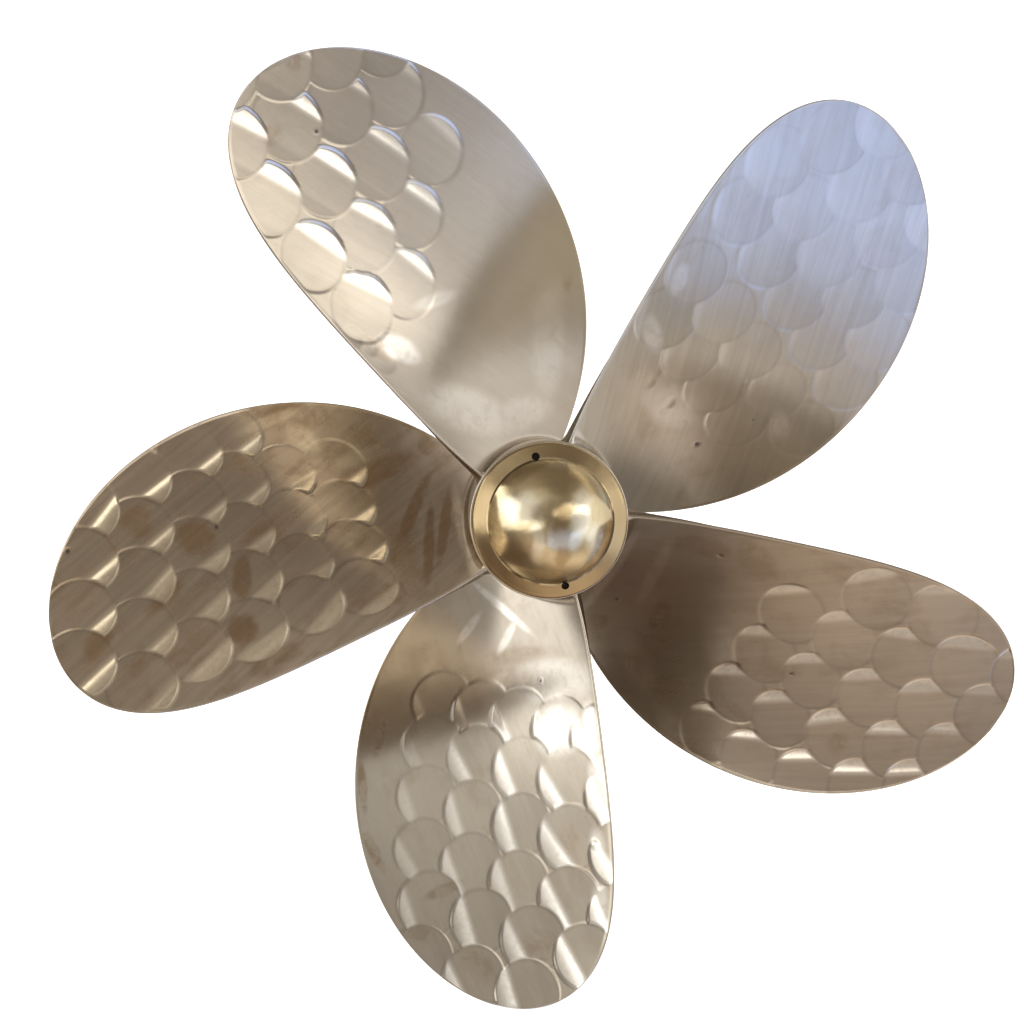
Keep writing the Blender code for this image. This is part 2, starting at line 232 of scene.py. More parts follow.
# Painted highlights (gleams): bright streaks and patches, mixed to each blade's highlight colour and a little smoother.
PAINTED_GLEAMS = {
    1: (
        (-85.0, -120.0, 27.0, 14.0, -40.0, 0.9),
        (-25.0, -210.0, 75.0, 26.0, -32.0, 0.45),
        (61.0, -247.0, 60.0, 22.0, -10.0, 0.35),
        (125.0, -180.0, 80.0, 26.0, 80.0, 0.22),
        (-20.0, -84.0, 30.0, 8.0, 0.0, 0.35),
    ),
    2: (
        (17.0, -165.0, 45.0, 26.0, 10.0, 0.45),
        (-88.0, -135.0, 26.0, 11.0, -15.0, 0.7),
        (-121.0, -79.0, 18.0, 10.0, -50.0, 0.6),
        (119.0, -71.0, 20.0, 11.0, -20.0, 0.6),
        (-43.0, -268.0, 44.0, 7.0, -8.0, 0.8),
        (85.0, -200.0, 60.0, 45.0, 80.0, 0.22),
    ),
    3: (
        (164.0, -87.0, 26.0, 14.0, 80.0, 0.3),
        (136.0, -166.0, 40.0, 22.0, 60.0, 0.25),
        (36.0, -101.0, 30.0, 22.0, 30.0, 0.2),
        (7.0, -216.0, 60.0, 8.0, 5.0, 0.25),
        (57.0, -262.0, 90.0, 7.0, -3.0, 0.5),
    ),
    4: (
        (-71.0, -124.0, 30.0, 30.0, 0.0, 1.0),
        (-38.0, -176.0, 62.0, 26.0, 10.0, 0.55),
        (64.0, -248.0, 64.0, 5.0, -22.0, 1.0),
        (37.0, -212.0, 22.0, 7.0, 80.0, 0.7),
        (97.0, -212.0, 24.0, 7.0, 75.0, 0.7),
        (-139.0, -82.0, 32.0, 14.0, -70.0, 1.0),
        (-113.0, -135.0, 30.0, 12.0, -65.0, 0.9),
        (-180.0, 45.0, 24.0, 10.0, -70.0, 0.8),
        (-161.0, -7.0, 28.0, 10.0, -65.0, 0.9),
        (20.0, -160.0, 22.0, 12.0, 30.0, 0.5),
    ),
    5: (
        (-36.0, -266.0, 44.0, 8.0, -5.0, 0.8),
        (36.0, -266.0, 62.0, 7.0, -5.0, 0.7),
        (136.0, -80.0, 24.0, 14.0, 60.0, 0.45),
        (150.0, -37.0, 42.0, 7.0, -60.0, 0.4),
        (120.0, -150.0, 44.0, 10.0, -60.0, 0.35),
    ),
}


def through(stations, values, x):
    """The smooth curve through a few design values, at one place or many."""
    return np.polyval(np.polyfit(stations, values, len(stations) - 1), x)


def hub_radius(height):
    return HUB_FORWARD_RADIUS + (HUB_AFT_RADIUS - HUB_FORWARD_RADIUS) * height / HUB_LENGTH


def bore_radius(height):
    return BORE_FORWARD_RADIUS - (height - SEAL_RECESS_DEPTH) * BORE_TAPER / 2.0


def shaft_to_world(points):
    """From the shaft's frame, with Z aft and Y up, to the frame that the model stands in."""
    return np.stack([points[..., 0], -points[..., 2], points[..., 1]], axis=-1)


def smooth_step(value):
    value = np.clip(value, 0.0, 1.0)
    return value * value * (3.0 - 2.0 * value)


# Meshes


def settings(context):
    return context.scene.propeller_looks


def finish_piece(name, bm, materials, node=None, angle=None):
    """Turn a bmesh into a piece that rides on the part, smooth, with its materials."""
    mesh = bpy.data.meshes.new(name)
    bm.to_mesh(mesh)
    bm.free()
    for material in materials:
        mesh.materials.append(material)
    mesh.shade_smooth()
    if angle is not None:
        mesh.set_sharp_from_angle(angle=angle)
    piece = bpy.data.objects.new(name, mesh)
    bpy.context.scene.collection.objects.link(piece)
    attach(piece, "root")
    if node:
        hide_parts(node)
    return piece


def spin_profile(bm, profile, steps, closed):
    """Turn a profile of (radius, height) points once about the shaft's axis, in the shaft's frame."""
    verts = [bm.verts.new((radius, 0.0, height)) for radius, height in profile]
    edges = [bm.edges.new(pair) for pair in zip(verts, verts[1:])]
    if closed:
        edges.append(bm.edges.new((verts[-1], verts[0])))
    bmesh.ops.spin(bm, geom=verts + edges, cent=(0, 0, 0), axis=(0, 0, 1), angle=2.0 * math.pi,
                   steps=steps, use_merge=True)
    bmesh.ops.remove_doubles(bm, verts=bm.verts, dist=0.00001)
    bmesh.ops.recalc_face_normals(bm, faces=bm.faces)


def to_world(bm):
    """Turn a bmesh from the shaft's frame into the frame that the model stands in."""
    bmesh.ops.rotate(bm, verts=bm.verts, cent=(0, 0, 0), matrix=Matrix.Rotation(math.pi / 2.0, 3, "X"))


def arc(centre_radius, centre_height, radius, start, end, steps):
    angles = [start + (end - start) * i / steps for i in range(steps + 1)]
    return [(centre_radius + radius * math.cos(a), centre_height + radius * math.sin(a)) for a in angles]


# Blades


def blade_point(station, angle):
    """A point on the blade's helical reference surface, in the shaft's frame, from the blade plane."""
    radius = station * DIAMETER / 2.0
    height = -PITCH * angle / (2.0 * math.pi) + RAKE_SLOPE * radius
    return np.array([radius * math.sin(angle), radius * math.cos(angle), height])


def blade_plane():
    """Origin and axes of the flat plane that the grinder marks are laid out on."""
    station = PLANE_STATION
    angle = math.radians(float(through(SECTION_STATIONS, MID_CHORD_DEGREES, station)))
    step = 0.0001
    lead = blade_point(station, angle + step) - blade_point(station, angle - step)
    lead /= np.linalg.norm(lead)
    out = blade_point(station + step, angle) - blade_point(station - step, angle)
    out -= lead * (out @ lead)
    out /= np.linalg.norm(out)
    return blade_point(station, angle) + np.array([0.0, 0.0, BLADE_PLANE]), lead, out


def blade_rows(count, fillet_rows, tip_radius):
    """Radius, share of the hub's taper and root flare of each row, from the hub to the tip."""
    root = hub_radius(BLADE_PLANE)
    turn = math.pi / 2.0 * (1.0 - np.arange(fillet_rows + 1) / fillet_rows)
    rise = ROOT_FILLET * (1.0 - np.sin(turn))
    radius = [root - ROOT_SUNK, *(root + rise)]
    share = [1.0, *(1.0 - rise / ROOT_FILLET)]
    flare = [ROOT_FILLET, *(ROOT_FILLET * (1.0 - np.cos(turn)))]
    free = count - len(radius)
    first = math.acos((root + ROOT_FILLET) / tip_radius)
    last = math.radians(0.35)
    turns = first + (last - first) * np.arange(1, free + 1) / free
    radius += list(tip_radius * np.cos(turns))
    share += [0.0] * free
    flare += [0.0] * free
    return np.array(radius)[:, None], np.array(share)[:, None], np.array(flare)[:, None]


def blade_columns(face, back, edge):
    """Where each column runs round the section: face, trailing edge, back and leading edge."""
    def across(count):
        share = np.arange(count + 1) / count
        return 0.7 * (1.0 - 2.0 * share) + 0.3 * np.cos(math.pi * share)

    round_turn = math.pi * np.arange(1, edge) / edge
    face_across = across(face)
    back_across = -across(back)
    along = np.concatenate([face_across, -np.ones(edge - 1), back_across, np.ones(edge - 1), face_across[:1]])
    over = np.concatenate([0 * face_across, -np.sin(round_turn), 0 * back_across, np.sin(round_turn), [0.0]])
    drop = np.concatenate([0 * face_across, -(1 - np.cos(round_turn)) / 2, 0 * back_across - 1,
                           -(1 + np.cos(round_turn)) / 2, [0.0]])
    fill = np.sqrt(np.maximum(1.0 - along * along, 0.0))
    bulge = np.zeros_like(along)
    start = face + edge
    bulge[start:start + back + 1] = (fill * (1.0 + BACK_LEAN * along))[start:start + back + 1]
    side = np.concatenate([0 * face_across + 1, np.cos(round_turn), 0 * back_across - 1,
                           -np.cos(round_turn), [1.0]])
    on_face = np.zeros_like(along)
    on_face[:face + 1] = 1.0
    on_face[-1] = 1.0
    on_back = np.zeros_like(along)
    on_back[start:start + back + 1] = 1.0
    return along, over, drop, fill, bulge, side, on_face, on_back


def lay_marks(rows, looks, bright_side, rng):
    """Every grinder mark of a blade, in the order they were ground: hub to tip, leading to trailing."""
    side, bevel_start, slope, middle, per_lead, per_tip = bright_side
    marks = []
    for first_x, first_y, step_x, step_y, count in reversed(rows):
        for i in reversed(range(count)):
            jitter = rng.normal(0.0, 0.0008, 2)
            x = (first_x + step_x * i) / 1000.0 + jitter[0]
            y = (first_y + step_y * i) / 1000.0 + jitter[1]
            painted_shine = float(np.clip(middle + per_lead * x + per_tip * y, 0.05, 1.0)) * rng.uniform(0.8, 1.1)
            marks.append({
                "x": x,
                "y": y,
                "side": side,
                "slope": slope,
                "radius": looks.mark_radius * rng.uniform(0.97, 1.03),
                "turn": looks.bevel_turn + rng.normal(0.0, 0.08),
                "start": bevel_start + 0.28 * (0.6 - painted_shine) + rng.normal(0.0, 0.04),
                "tone": rng.uniform(0.0, 1.0),
                "painted_shine": painted_shine,
                "presence": min(0.25 + 1.1 * painted_shine, 1.0),
            })
    return marks


def bend_down(distance, start, width):
    """How far a floor has dropped that bends down past a line, for a slope of 1 beyond the bend."""
    share = np.clip((distance - start) / width, 0.0, 1.0)
    return width * (share ** 3 - share ** 4 / 2.0) + np.maximum(distance - start - width, 0.0)


def grind(x, y, marks, looks):
    """Depth of cut and the surface values of the uppermost mark, over points of the blade's plane."""
    cut = np.zeros_like(x)
    values = {key: np.zeros_like(x) for key in ("tone", "ground", "painted_shine", "rim", "shade")}
    values["tone"] += 0.5
    within = np.stack([x, y, np.zeros_like(x)], axis=-1)
    soft = looks.rim_softness
    for mark in marks:
        dx = x - mark["x"]
        dy = y - mark["y"]
        radius = mark["radius"]
        reach = np.hypot(dx, dy)
        inside = smooth_step((radius - reach) / soft + 0.5)
        along = (dx * math.cos(mark["turn"]) + dy * math.sin(mark["turn"])) * mark["side"]
        across = -dx * math.sin(mark["turn"]) + dy * math.cos(mark["turn"])
        start = mark["start"] * radius
        bend = looks.bevel_width * radius
        drop = mark["slope"] * bend_down(along, start, bend) + looks.far_slope * bend_down(-along, start, bend)
        drop = looks.bevel_depth * np.tanh(drop / looks.bevel_depth)
        floor = looks.mark_slope * across - looks.mark_depth - drop
        cut += (floor * mark["presence"] - cut) * inside
        # The painted highlight on the bright side rises past the bevel's start and fades further on.
        rising = smooth_step((along - start + 0.6 * bend) / (1.5 * bend))
        fading = 1.0 - 0.6 * smooth_step((along - start - 1.6 * bend) / (2.0 * bend))
        # Painted shade: a dark line just inside the mark's rim, and (shade) darker across the mark away from its bright
        # side.
        rim = np.exp(-((radius - soft / 2.0 - reach) / (0.8 * soft)) ** 2)
        own = {
            "tone": mark["tone"] + 0.0 * x,
            "ground": mark["presence"] + 0.0 * x,
            "painted_shine": mark["painted_shine"] * rising * fading,
            "rim": rim,
            "shade": np.clip(-along / radius, -1.0, 1.0),
        }
        for key, value in own.items():
            values[key] += (value - values[key]) * inside
        here = inside > 0.5
        within[here] = np.stack([dx, dy, mark["tone"] + 0.0 * dx], axis=-1)[here]
    return cut, values, within


def unevenness(x, y, wavelength, rng):
    """A gentle waviness, as hand work leaves on a surface, between about -1 and 1."""
    total = np.zeros_like(x)
    for _ in range(7):
        direction = rng.uniform(0.0, 2.0 * math.pi)
        length = wavelength * rng.uniform(0.7, 1.5)
        phase = rng.uniform(0.0, 2.0 * math.pi)
        total += np.sin(2.0 * math.pi / length * (x * math.cos(direction) + y * math.sin(direction)) + phase)
    return total / 4.0


def patches(rows, x, y):
    """Soft-edged oval patches, the strongest at each point of the blade's plane."""
    most = np.zeros_like(x)
    for px, py, length, width, degrees, strength in rows:
        turn = math.radians(degrees)
        dx = x - px / 1000.0
        dy = y - py / 1000.0
        along = (dx * math.cos(turn) + dy * math.sin(turn)) / (length / 1000.0)
        across = (dy * math.cos(turn) - dx * math.sin(turn)) / (width / 1000.0)
        reach = np.hypot(along, across)
        most = np.maximum(most, strength * (1.0 - smooth_step((reach - 0.55) / 0.75)))
    return most


def blade_surface(number, looks):
    """Points and surface values of one blade, row by row, in the shaft's frame."""
    tip = DIAMETER / 2.0 - looks.tip_inset
    radius, share, flare = blade_rows(looks.rows, looks.fillet_rows, tip)
    along, over, drop, fill, bulge, side, on_face, on_back = blade_columns(
        looks.face_columns, looks.back_columns, looks.edge_columns)
    x = radius / tip
    mid = np.radians(through(SECTION_STATIONS, MID_CHORD_DEGREES, x))
    chord = DIAMETER * through(SHAPE_STATIONS, CHORD_FULLNESS, x) * np.sqrt(1.0 - x * x)
    edge = np.minimum(through(SHAPE_STATIONS, EDGE_THICKNESS, x), chord * EDGE_LIMIT_OF_CHORD)
    thick = np.maximum(through(SHAPE_STATIONS, MAX_THICKNESS, x), edge)
    pitch_angle = np.arctan(PITCH / (2.0 * math.pi * radius))
    half = chord / 2.0 - edge / 2.0

    reach = half * along + edge / 2.0 * over
    reach = reach * (1.0 + flare * EDGE_FILLET_SHARE / half)
    swell = flare * (EDGE_FILLET_SHARE + (1.0 - EDGE_FILLET_SHARE) * np.sqrt(fill))
    rise = edge * drop - (thick - edge) * bulge + swell * side
    tip_round = np.clip((radius - (tip - EDGE_THICKNESS[2] / 2.0)) / (EDGE_THICKNESS[2] / 2.0), 0.0, 1.0)
    shrink = np.sqrt(1.0 - tip_round * tip_round)
    rise = -edge / 2.0 + (rise + edge / 2.0) * shrink

    def place(rise):
        angle = mid + (reach * np.cos(pitch_angle) + rise * np.sin(pitch_angle)) / radius
        base = BLADE_PLANE - PITCH * mid / (2.0 * math.pi) + RAKE_SLOPE * radius
        height = base - reach * np.sin(pitch_angle) + rise * np.cos(pitch_angle)
        out = radius + share * (hub_radius(height) - hub_radius(BLADE_PLANE))
        return np.stack([out * np.sin(angle), out * np.cos(angle), height], axis=-1)

    origin, lead, out = blade_plane()
    flat = place(rise) - origin
    plane_x = flat @ lead
    plane_y = flat @ out

    rng = np.random.default_rng(40 + number)
    bright_side = BRIGHT_SIDES[number]
    face_cut, face_values, face_within = grind(
        plane_x, plane_y, lay_marks(MARK_ROWS[number], looks, bright_side, rng), looks)
    back_cut, back_values, back_within = grind(
        plane_x, plane_y, lay_marks(BACK_ROWS, looks, BACK_BRIGHT_SIDE, rng), looks)
    pore = np.zeros_like(plane_x)
    for px, py, size, depth in PITS[number]:
        reach_to = np.hypot(plane_x - px / 1000.0, plane_y - py / 1000.0) / (size / 1000.0)
        hollow = np.clip(1.0 - reach_to * reach_to, 0.0, 1.0)
        face_cut -= depth / 1000.0 * hollow
        pore = np.maximum(pore, hollow * (size < 5.0))
    wave = looks.unevenness * (unevenness(plane_x, plane_y, 0.11, rng) - 1.6)
    to_edge = half * (1.0 - np.abs(along))
    to_tip = tip - radius
    free = smooth_step(to_edge / 0.004) * smooth_step(to_tip / 0.004)
    off_root = smooth_step((radius - hub_radius(BLADE_PLANE) - 0.012) / 0.03)
    relief = free * off_root
    rise = rise + on_face * relief * (face_cut + wave) - on_back * relief * (back_cut + wave)
    points = place(rise)

    values = {key: face_values[key] * on_face + back_values[key] * on_back for key in face_values}
    values["pore"] = pore * on_face
    values["stain_and_shade"] = patches(STAINS_AND_DARK_REFLECTIONS[number], plane_x, plane_y) * on_face
    values["painted_gleam"] = patches(PAINTED_GLEAMS[number], plane_x, plane_y) * on_face
    values["edge"] = 1.0 - smooth_step(to_edge / 0.003) * smooth_step(to_tip / 0.003) * (on_face + on_back)
    values["root"] = 1.0 - smooth_step((radius - hub_radius(BLADE_PLANE)) / 0.075) + 0.0 * along
    within = face_within * on_face[None, :, None] + back_within * (1.0 - on_face)[None, :, None]
    turn = CLOCK_ANGLE - (number - 1) * 2.0 * math.pi / BLADE_COUNT
    cos, sin = math.cos(turn), math.sin(turn)
    points = np.stack([points[..., 0] * cos - points[..., 1] * sin,
                       points[..., 0] * sin + points[..., 1] * cos, points[..., 2]], axis=-1)
    return shaft_to_world(points), plane_x, plane_y, within, values


def add_blade(number, looks, material):
    """One blade: a grid wrapped round its sections, closed at the tip and inside the hub."""
    points, plane_x, plane_y, within, values = blade_surface(number, looks)
    rows, columns = plane_x.shape
    bm = bmesh.new()
    bmesh.ops.create_grid(bm, x_segments=columns - 1, y_segments=rows - 1, size=0.5)
    bm.verts.ensure_lookup_table()
    grid = np.array([v.co[:2] for v in bm.verts])
    column = np.rint((grid[:, 0] + 0.5) * (columns - 1)).astype(int)
    row = np.rint((grid[:, 1] + 0.5) * (rows - 1)).astype(int)
    place = points[row, column]
    for vert, co in zip(bm.verts, place.tolist()):
        vert.co = co
    keys = {}
    for key in values:
        keys[key] = bm.verts.layers.float.new(key)
    where = bm.verts.layers.float_vector.new("within")
    plane = bm.verts.layers.float_vector.new("plane")
    stacked = {key: values[key][row, column].tolist() for key in values}
    within_list = within[row, column].tolist()
    plane_list = np.stack([plane_x, plane_y, 0.0 * plane_x], axis=-1)[row, column].tolist()
    for index, vert in enumerate(bm.verts):
        for key in keys:
            vert[keys[key]] = stacked[key][index]
        vert[where] = within_list[index]
        vert[plane] = plane_list[index]
    bmesh.ops.remove_doubles(bm, verts=bm.verts, dist=0.00001)
    rims = [e for e in bm.edges if e.is_boundary]
    bmesh.ops.holes_fill(bm, edges=rims, sides=0)
    bmesh.ops.triangulate(bm, faces=[f for f in bm.faces if len(f.verts) > 4])
    bmesh.ops.recalc_face_normals(bm, faces=bm.faces)
    piece = finish_piece(f"blade_{number}", bm, [material], "propeller_casting")
    uv = piece.data.uv_layers.new(name="plane")
    loop_vertex = np.zeros(len(piece.data.loops), dtype=np.int32)
    piece.data.loops.foreach_get("vertex_index", loop_vertex)
    coords = np.zeros(len(piece.data.vertices) * 3, dtype=np.float32)
    piece.data.attributes["plane"].data.foreach_get("vector", coords)
    uv.data.foreach_set("uv", coords.reshape(-1, 3)[loop_vertex, :2].ravel())
    return piece


# Hub


def hub_profile():
    """The hub's section, down the outside, across the forward face and up the bore."""
    seat = HUB_LENGTH - NUT_RECESS_DEPTH
    aft = HUB_AFT_ROUND
    forward = HUB_FORWARD_ROUND
    edge = 0.0006
    profile = [(NUT_RECESS_RADIUS, HUB_LENGTH - edge), (NUT_RECESS_RADIUS + edge, HUB_LENGTH)]
    profile += arc(hub_radius(HUB_LENGTH) - aft, HUB_LENGTH - aft, aft, math.pi / 2, 0.0, 4)
    for i in range(1, 24):
        height = HUB_LENGTH - aft + (forward - HUB_LENGTH + aft) * i / 24
        profile.append((hub_radius(height), height))
    profile += arc(hub_radius(forward) - forward, forward, forward, 0.0, -math.pi / 2, 8)
    profile += [
        (SEAL_RECESS_RADIUS + edge, 0.0),
        (SEAL_RECESS_RADIUS, edge),
        (SEAL_RECESS_RADIUS, SEAL_RECESS_DEPTH),
        (BORE_FORWARD_RADIUS + edge, SEAL_RECESS_DEPTH),
        (BORE_FORWARD_RADIUS, SEAL_RECESS_DEPTH + edge),
        (bore_radius(seat - edge), seat - edge),
        (bore_radius(seat) + edge, seat),
        (NUT_RECESS_RADIUS, seat),
    ]
    return profile


def cut_with(piece, cutters):
    """Cut pieces out of a piece and keep the result as its mesh."""
    for cutter in cutters:
        cut = piece.modifiers.new("Cut", "BOOLEAN")
        cut.operation = "DIFFERENCE"
        cut.solver = "EXACT"
        cut.object = cutter
    depsgraph = bpy.context.evaluated_depsgraph_get()
    mesh = bpy.data.meshes.new_from_object(piece.evaluated_get(depsgraph), depsgraph=depsgraph)
    piece.modifiers.clear()
    old = piece.data
    piece.data = mesh
    bpy.data.meshes.remove(old)
    for cutter in cutters:
        bpy.data.objects.remove(cutter, do_unlink=True)


def loose_object(name, bm):
    mesh = bpy.data.meshes.new(name)
    bm.to_mesh(mesh)
    bm.free()
    obj = bpy.data.objects.new(name, mesh)
    bpy.context.scene.collection.objects.link(obj)
    return obj


def add_hub(looks, barrel, machined):
    """The hub's barrel, faced ends, tapered bore and keyway."""
    bm = bmesh.new()
    spin_profile(bm, hub_profile(), looks.turn_steps, closed=True)
    outer = hub_radius(HUB_LENGTH) - HUB_AFT_ROUND - 0.0004
    for face in bm.faces:
        centre = face.calc_center_median()
        out = math.hypot(centre.x, centre.y)
        flat_end = centre.z < 0.0004 or centre.z > HUB_LENGTH - 0.0004
        face.material_index = 1 if out < outer - 0.02 or (flat_end and out < outer + 0.001) else 0
    to_world(bm)
    hub = finish_piece("hub", bm, [barrel, machined], "propeller_casting")
    seat = HUB_LENGTH - NUT_RECESS_DEPTH
    middle = (SEAL_RECESS_DEPTH + seat) / 2.0
    length = seat - SEAL_RECESS_DEPTH + 0.010
    depth = KEYWAY_DEPTH + 0.015
    slot = bmesh.new()
    bmesh.ops.create_cube(slot, size=1.0, matrix=Matrix.Translation(
        (0.0, bore_radius(middle) + KEYWAY_DEPTH - depth / 2.0, middle))
        @ Matrix.Rotation(math.atan(BORE_TAPER / 2.0), 4, "X")
        @ Matrix.Diagonal((KEYWAY_WIDTH, depth, length, 1.0)))
    to_world(slot)
    cut_with(hub, [loose_object("keyway_cutter", slot)])
    hub.data.shade_smooth()
    hub.data.set_sharp_from_angle(angle=math.radians(28.0))
    return hub


# Cap


def cap_profile():
    """Down the outside from the crown, across the flange and up the inside."""
    base = CAP_BASE
    shoulder = CAP_SHOULDER_ROUND
    collar_top = base + CAP_COLLAR_HEIGHT
    band_top = collar_top + shoulder * math.cos(CAP_BAND_TILT)
    band_radius = CAP_RADIUS - shoulder * (1.0 - math.sin(CAP_BAND_TILT))
    dome_base = band_top + (band_radius - CAP_DOME_RADIUS) * math.tan(CAP_BAND_TILT)
    rise = CAP_DOME_RISE
    foot = CAP_DOME_RADIUS - CAP_STEP
    sphere = (foot * foot + rise * rise) / (2.0 * rise)
    centre = dome_base + rise - sphere
    foot_angle = math.asin((sphere - rise) / sphere)
    outside = arc(0.0, centre, sphere, math.pi / 2.0, foot_angle, 40)
    outside[0] = (0.0, centre + sphere)
    outside += [(CAP_DOME_RADIUS - CAP_STEP * 0.5, dome_base + CAP_STEP * 0.15), (CAP_DOME_RADIUS, dome_base)]
    run = band_radius - CAP_DOME_RADIUS
    for i in range(1, 10):
        outside.append((CAP_DOME_RADIUS + run * i / 10, dome_base - run * i / 10 * math.tan(CAP_BAND_TILT)))
    outside += arc(CAP_RADIUS - shoulder, collar_top, shoulder, math.pi / 2.0 - CAP_BAND_TILT, 0.0, 10)
    edge = 0.0007
    outside += [(CAP_RADIUS, base + edge), (CAP_RADIUS - edge, base), (SPIGOT_RADIUS, base),
                (SPIGOT_RADIUS, base - SPIGOT_LENGTH)]
    inner = sphere - CAP_WALL
    mouth = SPIGOT_RADIUS - SPIGOT_WALL
    inside = [(mouth, base - SPIGOT_LENGTH)]
    inside += arc(0.0, centre, inner, math.acos(mouth / inner), math.pi / 2.0, 16)
    inside[-1] = (0.0, centre + inner)
    return outside + inside


def band_height(radius):
    collar_top = CAP_BASE + CAP_COLLAR_HEIGHT
    band_top = collar_top + CAP_SHOULDER_ROUND * math.cos(CAP_BAND_TILT)
    band_radius = CAP_RADIUS - CAP_SHOULDER_ROUND * (1.0 - math.sin(CAP_BAND_TILT))
    return band_top + (band_radius - radius) * math.tan(CAP_BAND_TILT)


def add_cap(looks, brass, hole_shade):
    """The domed cap, worked by hand to a slight ripple, with its two spanner holes."""
    bm = bmesh.new()
    spin_profile(bm, cap_profile(), looks.turn_steps, closed=False)
    rng = np.random.default_rng(7)
    points = np.array([v.co for v in bm.verts])
    wave = unevenness(points[:, 0], points[:, 1], 0.05, rng) + 0.5 * unevenness(points[:, 0], points[:, 1], 0.022, rng)
    spread = np.hypot(points[:, 0], points[:, 1])
    worked = (points[:, 2] > CAP_BASE + 0.002) * smooth_step((CAP_RADIUS - spread) / 0.004)
    inward = looks.cap_ripple * (wave - 2.6) * worked
    points[:, 2] += inward
    for vert, co in zip(bm.verts, points.tolist()):
        vert.co = co
    to_world(bm)
    cap = finish_piece("polished_cap", bm, [brass, hole_shade], "boss_cap")
    cutters = []
    for number in range(2):
        angle = SPANNER_HOLE_ANGLE + number * math.pi
        drill = bmesh.new()
        surface = band_height(SPANNER_HOLE_CIRCLE)
        place = Matrix.Translation((SPANNER_HOLE_CIRCLE * math.cos(angle), SPANNER_HOLE_CIRCLE * math.sin(angle), surface))
        bmesh.ops.create_cone(drill, cap_ends=True, segments=48, radius1=SPANNER_HOLE_RADIUS,
                              radius2=SPANNER_HOLE_RADIUS, depth=SPANNER_HOLE_DEPTH * 2.0, matrix=place)
        for face in drill.faces:
            face.material_index = 1
        to_world(drill)
        cutters.append(loose_object(f"drill_{number + 1}", drill))
    cut_with(cap, cutters)
    cap.data.shade_smooth()
    cap.data.set_sharp_from_angle(angle=math.radians(22.0))
    return cap


# Node tools


class Graph:
    """A short way to place and join the nodes of one tree."""

    def __init__(self, tree):
        self.tree = tree

    def node(self, kind, **values):
        made = self.tree.nodes.new(kind)
        for key, value in values.items():
            setattr(made, key, value)
        return made

    def join(self, source, target):
        self.tree.links.new(source, target)

    def feed(self, socket, value):
        if isinstance(value, bpy.types.NodeSocket):
            self.join(value, socket)
        elif value is not None:
            socket.default_value = value

    def math(self, operation, first, second=None, third=None, clamp=False):
        made = self.node("ShaderNodeMath", operation=operation, use_clamp=clamp)
        for socket, value in zip(made.inputs, (first, second, third)):
            self.feed(socket, value)
        return made.outputs[0]

    def vector(self, operation, first, second=None, scale=None):
        made = self.node("ShaderNodeVectorMath", operation=operation)
        self.feed(made.inputs[0], first)
        self.feed(made.inputs[1], second)
        if scale is not None:
            self.feed(made.inputs["Scale"], scale)
        return made.outputs["Value" if operation in ("LENGTH", "DOT_PRODUCT") else "Vector"]

    def mix(self, factor, first, second, blend="MIX"):
        made = self.node("ShaderNodeMix", data_type="RGBA", blend_type=blend)
        self.feed(made.inputs["Factor"], factor)
        self.feed(made.inputs["A"], first)
        self.feed(made.inputs["B"], second)
        return made.outputs["Result"]

    def between(self, value, low, high, out_low=0.0, out_high=1.0, smooth=True):
        made = self.node("ShaderNodeMapRange", interpolation_type="SMOOTHSTEP" if smooth else "LINEAR")
        for socket, part in zip(made.inputs, (value, low, high, out_low, out_high)):
            self.feed(socket, part)
        return made.outputs[0]

    def noise(self, vector, scale, detail=3.0, roughness=0.5, distortion=0.0):
        made = self.node("ShaderNodeTexNoise")
        self.feed(made.inputs["Vector"], vector)
        self.feed(made.inputs["Scale"], scale)
        self.feed(made.inputs["Detail"], detail)
        self.feed(made.inputs["Roughness"], roughness)
        self.feed(made.inputs["Distortion"], distortion)
        return made.outputs[0]

    def mapped(self, vector, scale=(1, 1, 1), turn=(0, 0, 0), shift=(0, 0, 0)):
        made = self.node("ShaderNodeMapping")
        self.feed(made.inputs["Vector"], vector)
        made.inputs["Scale"].default_value = scale
        made.inputs["Rotation"].default_value = turn
        made.inputs["Location"].default_value = shift
        return made.outputs[0]

    def bump(self, height, distance, strength=1.0, normal=None):
        made = self.node("ShaderNodeBump")
        made.inputs["Distance"].default_value = distance
        made.inputs["Strength"].default_value = strength
        self.feed(made.inputs["Height"], height)
        self.feed(made.inputs["Normal"], normal)
        return made.outputs[0]

    def grey(self, value):
        made = self.node("ShaderNodeCombineXYZ")
        for socket in made.inputs:
            self.join(value, socket)
        return made.outputs[0]

    def attribute(self, name, output="Fac"):
        return self.node("ShaderNodeAttribute", attribute_name=name).outputs[output]

    def object_coordinates(self):
        return self.node("ShaderNodeTexCoord").outputs["Object"]

    def group(self, tree, **values):
        made = self.node("ShaderNodeGroup")
        made.node_tree = tree
        for key, value in values.items():
            self.feed(made.inputs[key.replace("_", " ")], value)
        return made.outputs


def new_group(name, inputs, outputs):
    """A node group with named inputs, their defaults, and named outputs."""
    tree = bpy.data.node_groups.new(name, "ShaderNodeTree")
    for title, kind, default in inputs:
        socket = tree.interface.new_socket(name=title, in_out="INPUT", socket_type=kind)
        if default is not None:
            socket.default_value = default
    for title, kind in outputs:
        tree.interface.new_socket(name=title, in_out="OUTPUT", socket_type=kind)
    graph = Graph(tree)
    return graph, graph.node("NodeGroupInput").outputs, graph.node("NodeGroupOutput").inputs


def new_material(name, metallic=1.0, roughness=0.3, colour=(0.5, 0.5, 0.5)):
    material = bpy.data.materials.new(name)
    material.use_nodes = True
    shader = material.node_tree.nodes["Principled BSDF"]
    shader.inputs["Metallic"].default_value = metallic
    shader.inputs["Roughness"].default_value = roughness
    shader.inputs["Base Color"].default_value = (*colour, 1.0)
    material.diffuse_color = (*colour, 1.0)
    return material, Graph(material.node_tree), shader
